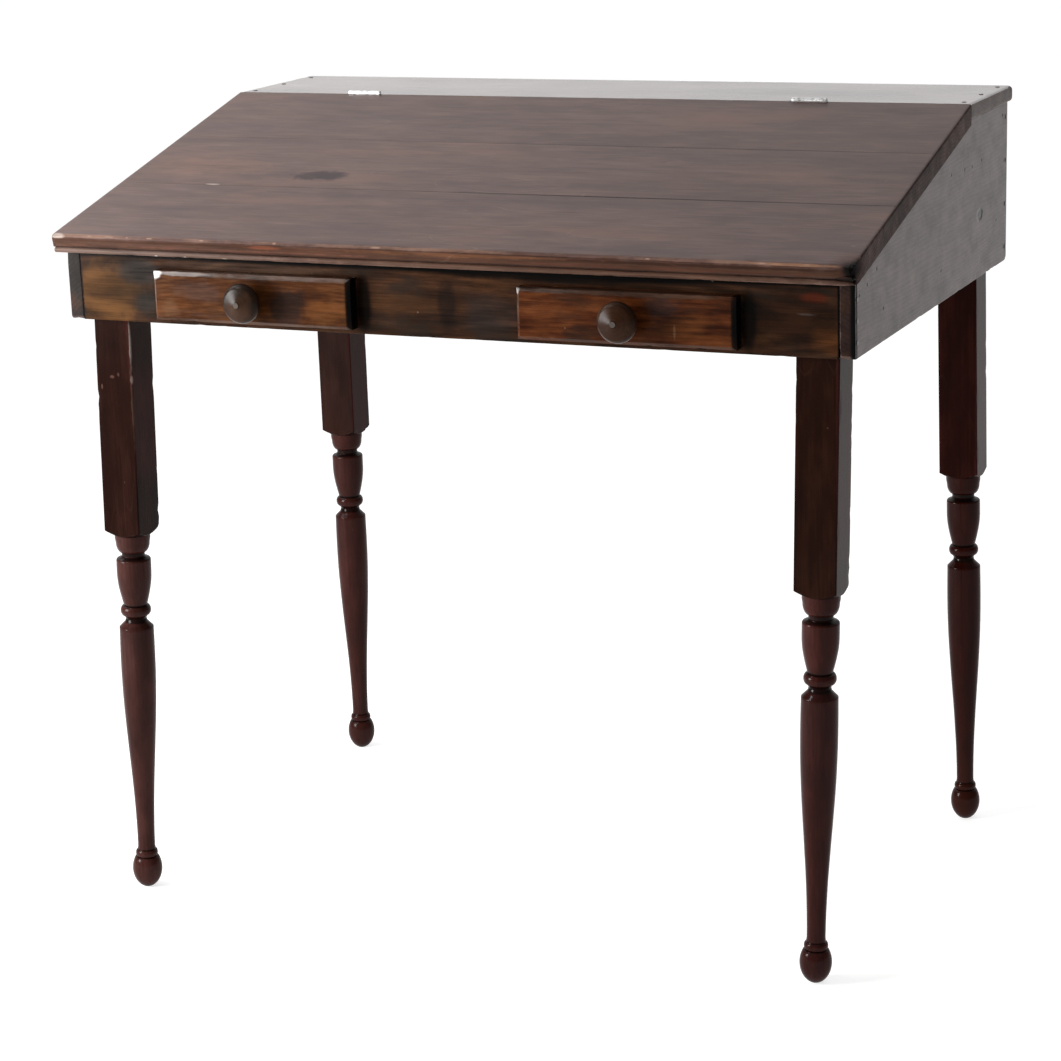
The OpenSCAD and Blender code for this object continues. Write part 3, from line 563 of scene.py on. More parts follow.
RED_KNOB_LOOK = changed(
    KNOB_LOOK, stops=[(0.010, 0.0032, 0.0013), (0.022, 0.0085, 0.0036), (0.042, 0.018, 0.009)],
    ior=1.16)
INNER_LOOK = changed(
    OLD_FINISH, stops=[(0.10, 0.050, 0.024), (0.17, 0.09, 0.045), (0.25, 0.14, 0.075)],
    grime=(0.06, 0.035, 0.02), worn=(0.34, 0.22, 0.13), warm=(0.20, 0.10, 0.045), ior=1.4,
    rough=0.62, rough_vary=0.1, rings=0.4, ring=0.006, warp=0.05, end=(0.07, 0.04, 0.02),
    end_part=0.5, crevice=(0.03, 0.016, 0.008))


def turning_of(look, tint):
    """The glossier look of a leg's turning: its block's tones times a tint, under a thin coat."""
    def tinted(colour):
        return tuple(a * b for a, b in zip(colour, tint))

    return changed(look, stops=[tinted(colour) for colour in look["stops"]],
                   grime=tinted(look["grime"]), warm=tinted(look["warm"]), coat=0.09,
                   fibre=0.5, patch=0.8, cloud=1.0)


# Patterns of the metals: waves per metre, and where rust ends and bare metal starts to shine
RUST_SCALE = 160
GRIT_SCALE = 900
RUST_RANGE = (0.32, 0.66)
SHINE_RANGE = (0.1, 0.6)

# Each metal has its colours from rusty to rubbed, its roughness, its relief and its metallic parts
METALS = {
    "nail_iron": ([(0.010, 0.007, 0.006), (0.02, 0.013, 0.010), (0.04, 0.028, 0.022)], 0.15, 4e-5,
                  (0.0, 0.1)),
    "screw_steel": ([(0.06, 0.04, 0.03), (0.22, 0.2, 0.18), (0.42, 0.41, 0.40)], 0.2, 5e-5,
                    (0.35, 1.0)),
    "hinge_steel": ([(0.10, 0.09, 0.08), (0.62, 0.61, 0.60), (0.92, 0.92, 0.92)], 0.24, 2e-5,
                    (0.2, 0.9)),
    "bolt_steel": ([(0.01, 0.006, 0.004), (0.03, 0.018, 0.01), (0.06, 0.035, 0.022)], 0.5, 3e-5,
                   (0.0, 0.2)),
}


def metal(name, stops, rough, relief, shine):
    """Old steel or iron with rust and grime in patches, and brighter where it is rubbed."""
    s = Shading(name)
    patches = s.noise(s.mapped(s.place, (RUST_SCALE,) * 3), 5, 0.7)
    grit = s.noise(s.mapped(s.place, (GRIT_SCALE,) * 3), 3, 0.6)
    tone = s.spread(s.weighted((patches, 0.7), (grit, 0.3)), *RUST_RANGE)
    s.set("Base Color", s.ramp(tone, *stops))
    s.set("Metallic", s.spread(tone, *SHINE_RANGE, *shine))
    s.set("Roughness", s.math("ADD", s.math("MULTIPLY", patches, 0.3), rough))
    s.bump(s.weighted((patches, 0.4), (grit, 0.6)), relief)
    return s.material


def mesh_copy(node):
    """A node's mesh to work on, with its triangles joined back into flat faces."""
    bm = bmesh.new()
    bm.from_mesh(frame["nodes"][node].data)
    bmesh.ops.remove_doubles(bm, verts=bm.verts, dist=WELD)
    bmesh.ops.dissolve_limit(bm, angle_limit=FLAT, verts=bm.verts, edges=bm.edges)
    return bm


def bent_edges(bm, angle):
    return [e for e in bm.edges if e.is_manifold and e.calc_face_angle() > angle]


def ends_of(edges):
    """The two end points of each edge."""
    return [tuple(np.array(v.co) for v in e.verts) for e in edges]


def soften(bm, edges, size):
    """Rounds edges off."""
    bmesh.ops.bevel(bm, geom=edges, offset=size, offset_type="OFFSET", segments=3,
                    profile=0.5, affect="EDGES", clamp_overlap=True)


def cut(bm, along, step):
    """Cuts the mesh into strips across a direction, with extra cuts near its two ends."""
    reach = [v.co.dot(along) for v in bm.verts]
    low, high = min(reach), max(reach)
    count = max(1, round((high - low) / step))
    places = [low + (high - low) * i / count for i in range(1, count)]
    places += [low + n for n in NEAR_CUTS] + [high - n for n in NEAR_CUTS]
    for place in places:
        bmesh.ops.bisect_plane(bm, geom=bm.verts[:] + bm.edges[:] + bm.faces[:], dist=WELD,
                               plane_co=along * place, plane_no=along)


def distance_to(points, segments):
    """Distance of each point from the nearest of the segments."""
    best = np.full(len(points), 1.0)
    for a, b in segments:
        d = b - a
        t = np.clip((points - a) @ d / (d @ d), 0, 1)
        best = np.minimum(best, np.linalg.norm(points - (a + t[:, None] * d), axis=1))
    return best


def wear_down(bm, ridges, hollows, wave, nick, seed, gouges=()):
    """Pushes the surface in, gently all over, in nicks along the ridges and in each gouge."""
    bm.normal_update()
    offset = Vector(tuple(seed * part for part in WEAR_SHIFT))
    points = np.array([v.co for v in bm.verts])
    edge = bm.verts.layers.float.new("edge")
    hollow = bm.verts.layers.float.new("hollow")
    gaps = zip(bm.verts, distance_to(points, ridges), distance_to(points, hollows))
    for vertex, from_ridge, from_hollow in gaps:
        vertex[edge] = math.exp(-from_ridge / EDGE_REACH)
        vertex[hollow] = math.exp(-from_hollow / EDGE_REACH)
        near = math.exp(-(from_ridge / NICK_REACH) ** 2)
        swell = 0.5 + 0.5 * noise.noise(vertex.co * WAVE_SCALE + offset)
        dent = max(0.0, noise.noise(vertex.co * NICK_SCALE + offset) - NICK_FLOOR)
        depth = wave * swell + nick * dent * near
        for centre, radius, gouge in gouges:
            share = 1 - (vertex.co - Vector(centre)).length / radius
            rough = 0.8 + 0.4 * noise.noise(vertex.co * NICK_SCALE * GOUGE_FINER + offset)
            depth += gouge * max(0.0, share) * rough
        vertex.co -= vertex.normal * depth


def new_piece(bm, name, node, *materials):
    """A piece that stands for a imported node, inside its box, on its body and with its finish."""
    low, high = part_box(node)
    for vertex in bm.verts:
        vertex.co = [min(max(c, a), b) for c, a, b in zip(vertex.co, low, high)]
    mesh = bpy.data.meshes.new(name)
    bm.to_mesh(mesh)
    bm.free()
    for material in materials:
        mesh.materials.append(material)
    mesh.shade_smooth()
    mesh.set_sharp_from_angle(angle=SMOOTH)
    piece = bpy.data.objects.new(name, mesh)
    bpy.context.scene.collection.objects.link(piece)
    normals = piece.modifiers.new("normals", "WEIGHTED_NORMAL")
    normals.keep_sharp = True
    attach(piece, BODY_OF[node])
    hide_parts(node)


def anywhere(point):
    return True


def worn_board(node, grain, look, seed, bevel=0.0012, step=0.012, slope=0.0, wave=0.0004,
               nick=0.002, marks=(), gouges=(), exposed=anywhere, end_look=None):
    """A board with softened edges, nicked where they are exposed, and a slightly wavy surface.

    Its end grain can have a look of its own.
    """
    bm = mesh_copy(node)
    bent = bent_edges(bm, BENT)
    ridges = ends_of(e for e in bent
                     if e.is_convex and exposed((e.verts[0].co + e.verts[1].co) / 2))
    hollows = ends_of(e for e in bent if not e.is_convex)
    soften(bm, bent_edges(bm, SHARP), bevel)
    turn = Matrix.Rotation(slope, 3, "X")
    for axis in "XYZ":
        cut(bm, turn @ AXES[axis], step if axis != grain else step * FINER_ALONG)
    wear_down(bm, ridges, hollows, wave, nick, seed, gouges)
    materials = [wood(node + "_finish", grain, seed, look, marks)]
    if end_look:
        materials.append(wood(node + "_end_finish", grain, seed, end_look, marks))
        bm.normal_update()
        for face in bm.faces:
            face.material_index = abs(face.normal.dot(AXES[grain])) > END_FACING
    new_piece(bm, "worn_" + node, node, *materials)


def profile_of(node, to_axis, top):
    """A turned node's outline as (radius, height) points, from its lowest point up."""
    to_axis = np.array(to_axis)
    points = np.array([v.co for v in frame["nodes"][node].data.vertices])
    points = points @ to_axis[:3, :3].T + to_axis[:3, 3]
    points = points[points[:, 2] < top]
    levels = {}
    for x, y, z in points:
        levels.setdefault(round(z, OUTLINE_DIGITS), []).append(math.hypot(x, y))
    outline = []
    for z in sorted(levels):
        ends = [min(levels[z]), max(levels[z])]
        if ends[1] - ends[0] < OUTLINE_STEP:
            ends = ends[1:]
        elif outline and abs(outline[-1][0] - ends[1]) < abs(outline[-1][0] - ends[0]):
            ends.reverse()
        outline += [(r, z) for r in ends]
    return outline


def crest(outline, index):
    """How far an outline's point stands out, from -1 in a sharp crease to 1 on a sharp edge."""
    if index in (0, len(outline) - 1):
        return 0.0
    (r0, z0), (r1, z1), (r2, z2) = outline[index - 1:index + 2]
    first = math.atan2(r1 - r0, z1 - z0)
    second = math.atan2(r2 - r1, z2 - z1)
    return min(1.0, max(-1.0, (first - second) / FULL_CREST))


def turned(bm, outline, from_axis, seed, wobble=0.00015, finish=0):
    """Adds a turned solid: an outline spun round an axis, with an old hand's small faults."""
    offset = Vector(tuple(seed * part for part in FAULT_SHIFT))
    edge = bm.verts.layers.float.get("edge") or bm.verts.layers.float.new("edge")
    hollow = bm.verts.layers.float.get("hollow") or bm.verts.layers.float.new("hollow")
    rings = []
    faces = []
    for index, (radius, height) in enumerate(outline):
        ring = []
        for side in range(TURNED_SIDES):
            angle = 2 * math.pi * side / TURNED_SIDES
            point = Vector((radius * math.cos(angle), radius * math.sin(angle), height))
            fault = wobble * (0.5 + 0.5 * noise.noise(point * FAULT_SCALE + offset))
            point.x -= fault * math.cos(angle)
            point.y -= fault * math.sin(angle)
            vertex = bm.verts.new(from_axis @ point)
            vertex[edge] = max(0.0, crest(outline, index))
            vertex[hollow] = max(0.0, -crest(outline, index))
            ring.append(vertex)
        rings.append(ring)
    for low, high in zip(rings, rings[1:]):
        for side in range(TURNED_SIDES):
            after = (side + 1) % TURNED_SIDES
            faces.append(bm.faces.new((low[side], low[after], high[after], high[side])))
    for ring, height in ((rings[0], outline[0][1]), (rings[-1], outline[-1][1])):
        middle = bm.verts.new(from_axis @ Vector((0, 0, height)))
        for side in range(TURNED_SIDES):
            pair = [ring[side], ring[(side + 1) % TURNED_SIDES]]
            if ring is rings[0]:
                pair.reverse()
            faces.append(bm.faces.new((*pair, middle)))
    for face in faces:
        face.material_index = finish


def leg_axis(node, lean):
    """From a leg's own frame, which stands upright round its axis, to the desk's."""
    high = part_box(node)[1]
    top = [v.co for v in frame["nodes"][node].data.vertices if v.co.z > high.z - WELD]
    x = (min(c.x for c in top) + max(c.x for c in top)) / 2
    y = (min(c.y for c in top) + max(c.y for c in top)) / 2
    x -= math.tan(lean) * (high.z - LEAN_HEIGHT)
    return (Matrix.Translation((x, y, LEAN_HEIGHT)) @ Matrix.Rotation(lean, 4, "Y")
            @ Matrix.Translation((0, 0, -LEAN_HEIGHT)))


def worn_leg(node, lean, seed, look, tint, marks):
    """A leg: a square block with rubbed corners, and its turning below."""
    from_axis = leg_axis(node, lean)
    to_axis = from_axis.inverted()
    turning_end = BLOCK_END - TURNING_GAP
    outline = profile_of(node, to_axis, turning_end)
    outline.append((outline[-1][0], BLOCK_END + TURNING_SINK))

    bm = mesh_copy(node)
    lower = [v for v in bm.verts if (to_axis @ v.co).z < turning_end]
    bmesh.ops.delete(bm, geom=lower, context="VERTS")
    bmesh.ops.holes_fill(bm, edges=[e for e in bm.edges if e.is_boundary], sides=0)
    edges = bent_edges(bm, SHARP)
    ridges = ends_of(edges)
    upright = [e for e in edges
               if abs((e.verts[0].co - e.verts[1].co).normalized().z) > UPRIGHT]
    soften(bm, upright, LEG_BEVEL)
    for axis, step in LEG_STEPS:
        cut(bm, AXES[axis], step)
    wear_down(bm, ridges, (), LEG_WAVE, LEG_NICK, seed)
    turned(bm, outline, from_axis, seed, finish=1)
    marks = [(from_axis @ Vector(place), *rest) for place, *rest in [LEG_SIDE_PAINTED_LIGHT, *marks]]
    block_finish = wood(node + "_finish", "Z", seed, look, marks)
    turning_finish = wood(node + "_turning_finish", "Z", seed, turning_of(look, tint))
    new_piece(bm, "worn_" + node, node, block_finish, turning_finish)


def worn_knob(node, seed, look):
    """A round knob on its drawer's front, with its face turned to a shallow cone."""
    low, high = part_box(node)
    middle = (low + high) / 2
    from_axis = (Matrix.Translation((middle.x, high.y, middle.z))
                 @ Matrix.Rotation(math.radians(90), 4, "X"))
    length = high.y - low.y
    rim = length - FACE_DROP
    outline = [(r, z) for r, z in profile_of(node, from_axis.inverted(), length) if z < rim]
    for i in range(FACE_RINGS + 1):
        share = i / FACE_RINGS
        outline.append((FACE_OUTER + (FACE_INNER - FACE_OUTER) * share, rim + FACE_DROP * share))
    outline.append((FACE_INNER, length - BOLT_SEAT))
    bm = bmesh.new()
    turned(bm, outline, from_axis, seed, KNOB_FAULT)
    centred = changed(look, heart=(middle.x, 0, middle.z))
    new_piece(bm, "worn_" + node, node, wood(node + "_finish", "Y", seed, centred))


# Places on the desk that the marks refer to
LID_FRONT_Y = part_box("lid_front_board")[0].y
LID_END_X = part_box("lid_front_board")[1].x
LID_CORNER = (0.445, LID_FRONT_Y, 0.758)
LID_RIM = 0.012
LID_MARGIN = 0.001
ARRIS_Z = 0.7590
DARK_LINE_Z = 0.7562
BAND_Z = 0.7535
GROOVE_Z = 0.7484
BEAD_Z = 0.7445
LOW_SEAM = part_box("lid_middle_board")[0].y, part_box("lid_front_board")[1].z
HIGH_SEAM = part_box("lid_back_board")[0].y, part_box("lid_middle_board")[1].z
APRON_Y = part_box("front_apron")[0].y
JOINT_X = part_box("front_apron")[1].x
CASE_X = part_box("right_side_panel")[1].x
DRAWER_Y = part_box("left_drawer_front")[0].y
BEVEL_Y = DRAWER_Y + 0.002
DRAWER_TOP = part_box("left_drawer_front")[1].z
DRAWER_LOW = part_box("left_drawer_front")[0].z
LEFT_DRAWER_ENDS = (-0.325, -0.093)
RIGHT_DRAWER_ENDS = (0.093, 0.325)
CORNER = BLOCK_HALF, -BLOCK_HALF

# Colours that marks share
# Black for nail holes and dark joints, and also for painted shade and painted shadows
GAP_BLACK_AND_PAINTED_SHADE = (0.0006, 0.0004, 0.0003)
SOOTY = (0.010, 0.008, 0.007)
SEAM_TINT = (0.014, 0.005, 0.004)
CHIPPED = (0.24, 0.15, 0.11)
# Painted highlights, for the drawers' top bevels and top left corners
PAINTED_HIGHLIGHT = (0.34, 0.32, 0.31)
STRONG_PAINTED_HIGHLIGHT = (0.55, 0.53, 0.52)

# Marks: each has its middle, its half sizes, its colour, its part and its raggedness
LOW_SEAM_MARKS = [
    ((0.21, *LOW_SEAM), (0.36, 0.0017, 0.0017), SEAM_TINT, 0.95, 0.6),
    ((-0.28, *LOW_SEAM), (0.20, 0.0022, 0.0022), (0.060, 0.028, 0.022), 0.3, 1.2),
]
HIGH_SEAM_MARKS = [((0.20, *HIGH_SEAM), (0.30, 0.0013, 0.0013), SEAM_TINT, 0.4, 1.2)]
# Chips on the lid's front arris, as places along it and half lengths
CHIPS = [(-0.398, 0.003), (-0.374, 0.007), (-0.352, 0.002), (-0.325, 0.004), (-0.262, 0.003),
         (-0.176, 0.002), (-0.060, 0.005), (0.236, 0.003), (0.354, 0.006), (0.398, 0.004)]
LID_FRONT_MARKS = [
    ((0.0, -0.281, BAND_Z), (0.80, 0.007, 0.0085), (0.044, 0.0175, 0.0085), 0.93, 0.6),
    ((-0.34, -0.283, BAND_Z), (0.16, 0.006, 0.0040), (0.058, 0.029, 0.019), 0.7, 1.8),
    ((-0.24, -0.283, DARK_LINE_Z), (0.22, 0.005, 0.0020), (0.040, 0.015, 0.008), 0.75, 0.9),
    ((0.26, -0.283, DARK_LINE_Z), (0.21, 0.005, 0.0021), (0.020, 0.006, 0.0025), 0.8, 0.9),
    ((-0.19, -0.284, 0.756), (0.022, 0.005, 0.0025), (0.13, 0.038, 0.018), 0.6, 1.8),
    ((0.02, -0.284, 0.757), (0.14, 0.005, 0.0025), (0.100, 0.040, 0.018), 0.6, 2.0),
    ((-0.26, -0.284, 0.7515), (0.20, 0.005, 0.0013), (0.095, 0.036, 0.024), 0.6, 2.0),
    ((0.25, -0.284, 0.7515), (0.22, 0.005, 0.0013), (0.060, 0.018, 0.010), 0.6, 2.0),
    ((-0.36, -0.279, BEAD_Z), (0.26, 0.006, 0.0040), (0.092, 0.058, 0.046), 0.9, 1.2),
    ((0.16, -0.279, BEAD_Z), (0.40, 0.006, 0.0036), (0.062, 0.031, 0.020), 0.9, 1.2),
    ((0.0, -0.281, GROOVE_Z), (0.80, 0.005, 0.0011), (0.012, 0.004, 0.003), 0.8, 0.8),
    ((0.10, -0.284, ARRIS_Z), (0.40, 0.004, 0.0009), (0.024, 0.009, 0.006), 0.7, 1.6),
    # a pale spot at the left corner, partly a chip and partly a painted highlight
    ((-0.440, -0.281, 0.760), (0.010, 0.006, 0.0030), (0.30, 0.24, 0.21), 0.9, 1.4),
    ((-0.320, -0.277, 0.7425), (0.0025, 0.004, 0.0012), (0.34, 0.30, 0.26), 0.9, 0.6),
    ((-0.285, -0.277, 0.7425), (0.0020, 0.004, 0.0010), (0.30, 0.26, 0.22), 0.8, 0.6),
    ((-0.238, -0.277, 0.7425), (0.0040, 0.004, 0.0010), (0.22, 0.18, 0.13), 0.8, 0.6),
    ((0.390, -0.282, 0.7608), (0.055, 0.006, 0.0014), (0.22, 0.115, 0.070), 0.85, 1.8),
    # painted shade in the broken corner's hollow, over the gouge
    (LID_CORNER, (0.016, 0.022, 0.020), GAP_BLACK_AND_PAINTED_SHADE, 0.97, 1.0),
    *LOW_SEAM_MARKS,
    *(((x, -0.2825, ARRIS_Z + 0.002), (half, 0.004, 0.0008), CHIPPED, 0.75, 1.8)
      for x, half in CHIPS),
]
LID_MIDDLE_MARKS = [
    *LOW_SEAM_MARKS, *HIGH_SEAM_MARKS,
    ((-0.36, -0.09, 0.81), (0.08, 0.030, 0.012), (0.125, 0.062, 0.040), 0.5, 1.8),
    ((-0.219, -0.107, 0.805), (0.036, 0.016, 0.012), (0.020, 0.004, 0.005), 0.90, 1.9),
    ((-0.202, -0.105, 0.805), (0.023, 0.012, 0.010), (0.014, 0.002, 0.004), 0.8, 0.9),
    ((-0.328, -0.138, 0.797), (0.009, 0.0017, 0.004), (0.34, 0.27, 0.24), 0.8, 1.2),
]

# Nail holes on the side, as (y, z), then a sooty spot and a black line of painted shade down the
# front corner, at the apron's joint
SIDE_NAILS = [(-0.195, 0.744), (-0.227, 0.734), (-0.173, 0.701), (-0.253, 0.728),
              (0.076, 0.797), (0.159, 0.794), (0.199, 0.796), (0.025, 0.817),
              (0.129, 0.795), (0.036, 0.702), (0.264, 0.720), (0.288, 0.834)]
SIDE_MARKS = [
    *(((CASE_X, y, z), (0.003, 0.003, 0.0022), GAP_BLACK_AND_PAINTED_SHADE, 0.9, 0.5) for y, z in SIDE_NAILS),
    ((CASE_X, 0.193, 0.737), (0.01, 0.012, 0.007), SOOTY, 0.7, 1.2),
    # painted shade: a black line down the side's front corner
    ((CASE_X, APRON_Y, 0.70), (0.006, 0.006, 0.2), GAP_BLACK_AND_PAINTED_SHADE, 1.0, 0.2),
]
APRON_MARKS = [
    ((-0.392, APRON_Y, 0.697), (0.050, 0.02, 0.040), (0.072, 0.031, 0.009), 0.75, 1.6),
    ((-0.352, APRON_Y, 0.722), (0.030, 0.02, 0.016), (0.020, 0.017, 0.015), 0.8, 1.2),
    ((-0.345, APRON_Y, 0.688), (0.018, 0.02, 0.012), (0.022, 0.018, 0.015), 0.7, 1.2),
    ((-0.040, APRON_Y, 0.700), (0.050, 0.02, 0.012), (0.042, 0.017, 0.006), 0.5, 1.4),
    ((0.010, APRON_Y, 0.700), (0.012, 0.02, 0.028), (0.007, 0.004, 0.003), 0.7, 1.2),
    ((0.060, APRON_Y, 0.695), (0.035, 0.02, 0.024), (0.015, 0.011, 0.010), 0.5, 1.2),
    ((0.385, APRON_Y, 0.705), (0.055, 0.02, 0.034), (0.010, 0.0035, 0.0015), 0.7, 1.0),
    ((0.400, APRON_Y, 0.726), (0.018, 0.02, 0.006), (0.045, 0.008, 0.003), 0.7, 1.2),
    ((0.414, APRON_Y, 0.684), (0.018, 0.02, 0.014), (0.042, 0.014, 0.004), 0.7, 1.4),
    ((0.390, APRON_Y, 0.7095), (0.010, 0.02, 0.0015), (0.040, 0.030, 0.026), 0.8, 1.0),
    # painted shadow: black to the right of each drawer, where its shadow falls on the apron
    ((-0.086, APRON_Y, 0.700), (0.010, 0.01, 0.034), GAP_BLACK_AND_PAINTED_SHADE, 0.85, 0.3),
    ((0.332, APRON_Y, 0.700), (0.010, 0.01, 0.034), GAP_BLACK_AND_PAINTED_SHADE, 0.85, 0.3),
    # painted light: a lighter strip that makes up for the shade under the lid
    ((-0.21, APRON_Y, 0.731), (0.13, 0.02, 0.0060), (0.062, 0.034, 0.022), 0.6, 0.6),
    # painted shadow: a black line under the lid's overhang, wider right of the middle
    ((0.0, APRON_Y, 0.7406), (0.80, 0.02, 0.0062), GAP_BLACK_AND_PAINTED_SHADE, 1.0, 0.15),
    ((0.13, APRON_Y, 0.738), (0.20, 0.02, 0.0088), GAP_BLACK_AND_PAINTED_SHADE, 0.9, 0.4),
    ((-JOINT_X, APRON_Y, 0.705), (0.0022, 0.02, 0.20), (0.006, 0.002, 0.001), 0.9, 0.2),
    ((JOINT_X, APRON_Y, 0.705), (0.0022, 0.02, 0.20), GAP_BLACK_AND_PAINTED_SHADE, 0.95, 0.2),
]


def drawer_marks(left, right, pale, line):
    """Lighter bevels, partly wear and partly painted light, a painted highlight at the drawer's top
    left, and painted shade at its right end.
    """
    middle, half = (left + right) / 2, (right - left) / 2
    return [
        # painted light: the lip's top, lightened where the lid's overhang shades it
        ((middle, BEVEL_Y + 0.004, DRAWER_TOP - 0.001), (half * 1.2, 0.011, 0.0040), line, 0.85,
         1.0),
        ((middle, BEVEL_Y, DRAWER_LOW + 0.002), (half * 1.2, 0.004, 0.0024), line, 0.55, 1.2),
        ((left + 0.002, BEVEL_Y, DRAWER_TOP - 0.02), (0.0024, 0.004, 0.026), line, 0.8, 1.2),
        # painted highlight on the top bevel
        ((left + 0.035, BEVEL_Y, DRAWER_TOP - 0.002), (0.040, 0.004, 0.0024), pale, 0.35, 1.4),
        # painted shade on the drawer's right end face
        ((right - 0.002, BEVEL_Y + 0.008, 0.70), (0.0050, 0.014, 0.05), GAP_BLACK_AND_PAINTED_SHADE, 1.0, 0.15),
    ]


LEFT_DRAWER_MARKS = [
    # painted shadow of the knob, to its right
    ((-0.165, DRAWER_Y, 0.694), (0.024, 0.004, 0.024), (0.012, 0.007, 0.006), 0.75, 1.8),
    ((-0.122, DRAWER_Y, 0.690), (0.026, 0.004, 0.014), (0.085, 0.030, 0.008), 0.6, 1.8),
    ((-0.270, DRAWER_Y, 0.706), (0.034, 0.004, 0.012), (0.046, 0.024, 0.017), 0.6, 1.8),
    ((-0.305, DRAWER_Y, 0.690), (0.012, 0.004, 0.012), (0.070, 0.034, 0.016), 0.5, 1.8),
    *drawer_marks(*LEFT_DRAWER_ENDS, PAINTED_HIGHLIGHT, (0.085, 0.053, 0.040)),
    # painted highlight at the top left corner
    ((-0.3215, BEVEL_Y, DRAWER_TOP - 0.003), (0.0085, 0.004, 0.0056), STRONG_PAINTED_HIGHLIGHT, 0.97, 1.1),
]
RIGHT_DRAWER_MARKS = [
    ((0.250, DRAWER_Y, 0.714), (0.022, 0.004, 0.012), (0.018, 0.010, 0.009), 0.7, 1.8),
    ((0.275, DRAWER_Y, 0.694), (0.030, 0.004, 0.013), (0.075, 0.024, 0.006), 0.6, 1.8),
    ((0.165, DRAWER_Y, 0.684), (0.026, 0.004, 0.009), (0.016, 0.008, 0.005), 0.6, 1.8),
    ((0.125, DRAWER_Y, 0.702), (0.018, 0.004, 0.014), (0.080, 0.024, 0.007), 0.5, 1.8),
    ((0.262, DRAWER_Y, 0.690), (0.0014, 0.004, 0.008), (0.12, 0.06, 0.03), 0.7, 1.4),
    *drawer_marks(*RIGHT_DRAWER_ENDS, (0.10, 0.08, 0.07), (0.052, 0.029, 0.020)),
    # painted highlight at the top left corner
    ((0.0945, BEVEL_Y, DRAWER_TOP - 0.003), (0.003, 0.004, 0.004), PAINTED_HIGHLIGHT, 0.8, 0.8),
]

# Marks on the legs lie in each leg's own frame: its right side, its front right corner, its front.
# The right side's mark is painted light: a lighter, redder brown than the front, for how light
# falls there
LEG_SIDE_PAINTED_LIGHT = ((BLOCK_HALF, 0.0, 0.54), (0.002, 0.08, 0.50), (0.022, 0.005, 0.004), 0.9, 0.2)
FRONT_LEFT_MARKS = [
    ((*CORNER, 0.635), (0.0026, 0.0026, 0.030), (0.13, 0.11, 0.095), 0.8, 1.2),
    ((*CORNER, 0.600), (0.0026, 0.0026, 0.006), (0.17, 0.13, 0.11), 0.8, 1.2),
    ((*CORNER, 0.555), (0.0024, 0.0024, 0.060), (0.042, 0.025, 0.018), 0.75, 1.6),
    ((-0.003, -BLOCK_HALF, 0.602), (0.0035, 0.002, 0.0022), (0.085, 0.040, 0.032), 0.6, 1.4),
    ((0.005, -BLOCK_HALF, 0.605), (0.0018, 0.002, 0.0026), (0.070, 0.034, 0.028), 0.6, 1.4),
    ((-0.016, -BLOCK_HALF, 0.590), (0.0012, 0.002, 0.0030), (0.080, 0.045, 0.036), 0.6, 1.4),
]
BACK_LEFT_MARKS = [
    ((-0.004, -BLOCK_HALF, 0.630), (0.0014, 0.002, 0.007), (0.10, 0.08, 0.07), 0.8, 0.8),
]


def lid_rim(point):
    """The lid's front, but not its ends and seams."""
    return point.y < LID_FRONT_Y + LID_RIM and abs(point.x) < LID_END_X - LID_MARGIN


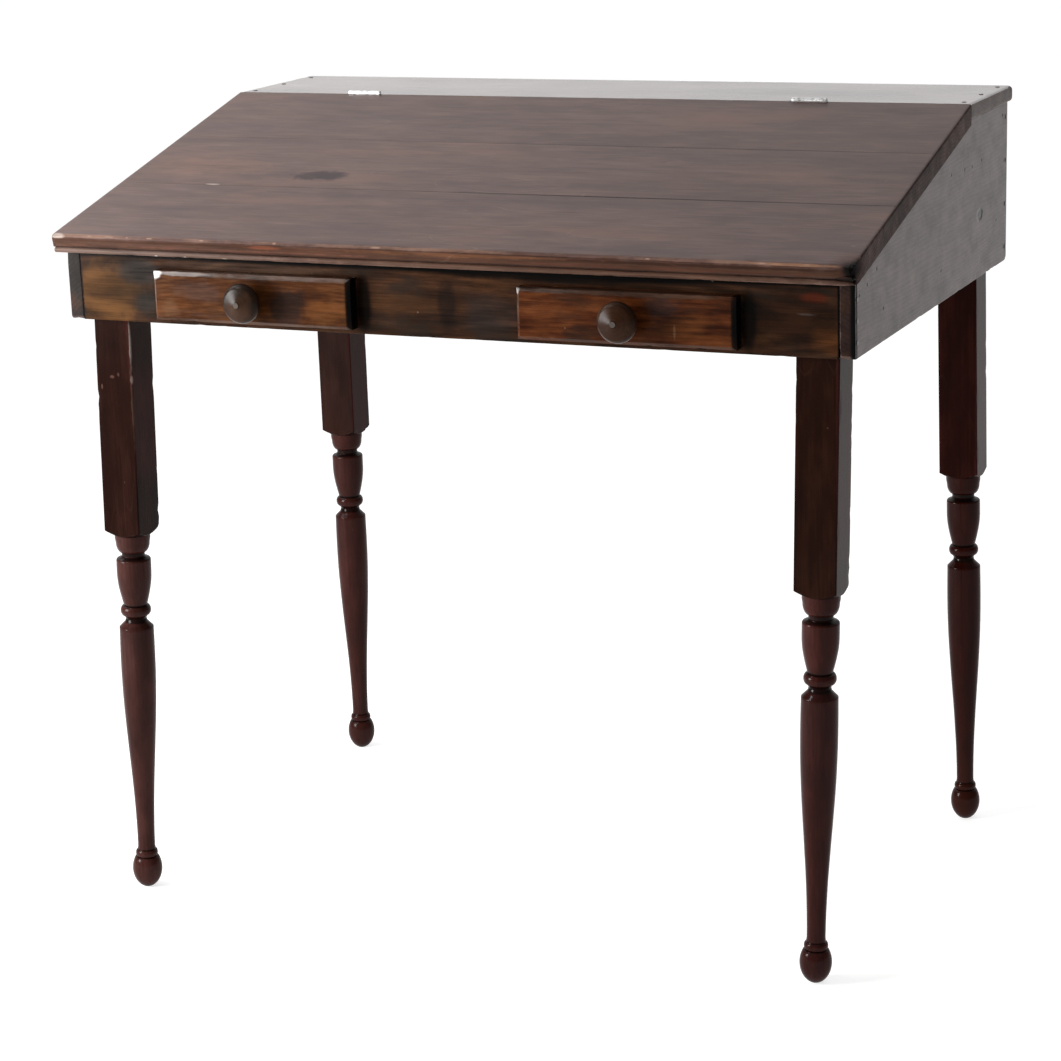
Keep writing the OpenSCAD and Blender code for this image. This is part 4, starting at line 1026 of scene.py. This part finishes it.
# Each board has its node, its grain, its look and what sets it apart
LID = {"slope": LID_SLOPE, "bevel": 0.0003, "exposed": lid_rim, "wave": 0.0002,
       "end_look": DARK_END_LOOK}
DRAWER = {"bevel": 0.0006, "step": 0.008}
INNER = {"bevel": 0.0006, "step": 0.03, "wave": 0.0001, "nick": 0.001}
BOARDS = [
    ("left_side_panel", "Y", PANEL_LOOK, {"marks": SIDE_MARKS, "end_look": LEFT_END_LOOK}),
    ("right_side_panel", "Y", PANEL_LOOK, {"marks": SIDE_MARKS, "end_look": RIGHT_END_LOOK}),
    ("back_panel", "X", PANEL_LOOK, {}),
    ("front_apron", "X", APRON_LOOK, {"marks": APRON_MARKS, "bevel": 0.0008}),
    ("top_shelf", "X", SHELF_LOOK, {"end_look": SHELF_END_LOOK}),
    ("lid_front_board", "X", LID_LOOK,
     {**LID, "marks": LID_FRONT_MARKS, "gouges": [(LID_CORNER, 0.022, 0.008)]}),
    ("lid_middle_board", "X", LID_LOOK, {**LID, "marks": LID_MIDDLE_MARKS}),
    ("lid_back_board", "X", LID_LOOK, {**LID, "marks": HIGH_SEAM_MARKS}),
    ("left_drawer_front", "X", DRAWER_LOOK, {**DRAWER, "marks": LEFT_DRAWER_MARKS}),
    ("right_drawer_front", "X", RED_DRAWER_LOOK, {**DRAWER, "marks": RIGHT_DRAWER_MARKS}),
]
INNER_BOARDS = [
    ("floor_front_board", "X"), ("floor_middle_board", "X"), ("floor_back_board", "X"),
    ("floor_cleats", "Y"), ("drawer_runners", "Y"), ("drawer_guides", "Y"),
    ("left_lid_batten", "Y"), ("right_lid_batten", "Y"),
    *((side + part, grain) for side in ("left_drawer_", "right_drawer_")
      for part, grain in (("left_side", "Y"), ("right_side", "Y"), ("back", "X"),
                          ("bottom", "X"))),
]

# Each leg has its node, its lean in degrees, its look, its turning's tint and its marks. Looks and
# tints are partly painted light, lighter or darker leg by leg for how light falls on each
LEGS = [
    ("front_left_leg", 1.7, LEG_LOOK, (3.0, 3.3, 4.4), FRONT_LEFT_MARKS),
    ("front_right_leg", 1.2, LEG_LOOK_PAINTED_DARKER, (2.0, 1.5, 2.2), []),
    ("back_left_leg", 0.0, LEG_LOOK_PAINTED_LIGHTER, (1.9, 1.2, 1.2), BACK_LEFT_MARKS),
    ("back_right_leg", -0.8, RED_LEG_LOOK, (1.5, 1.2, 1.0), []),
]
KNOBS = [("left_drawer_knob", KNOB_LOOK), ("right_drawer_knob", RED_KNOB_LOOK)]

# The first seed of each list, so that no two pieces share their patterns
BOARD_SEED = 1
INNER_SEED = 21
LEG_SEED = 41
KNOB_SEED = 51

add_camera()
add_world()
add_floor()
for light in LIGHTS:
    add_light(*light)

for seed, (node, grain, finish, options) in enumerate(BOARDS, BOARD_SEED):
    worn_board(node, grain, finish, seed, **options)
for seed, (node, grain) in enumerate(INNER_BOARDS, INNER_SEED):
    worn_board(node, grain, INNER_LOOK, seed, **INNER)
for seed, (node, lean, finish, tint, marks) in enumerate(LEGS, LEG_SEED):
    worn_leg(node, math.radians(lean), seed, finish, tint, marks)
for seed, (node, finish) in enumerate(KNOBS, KNOB_SEED):
    worn_knob(node, seed, finish)

for slot, values in METALS.items():
    material = metal(slot + "_finish", *values)
    for obj in frame["nodes"].values():
        if obj.data.materials[0].name == slot:
            obj.data.materials[0] = material
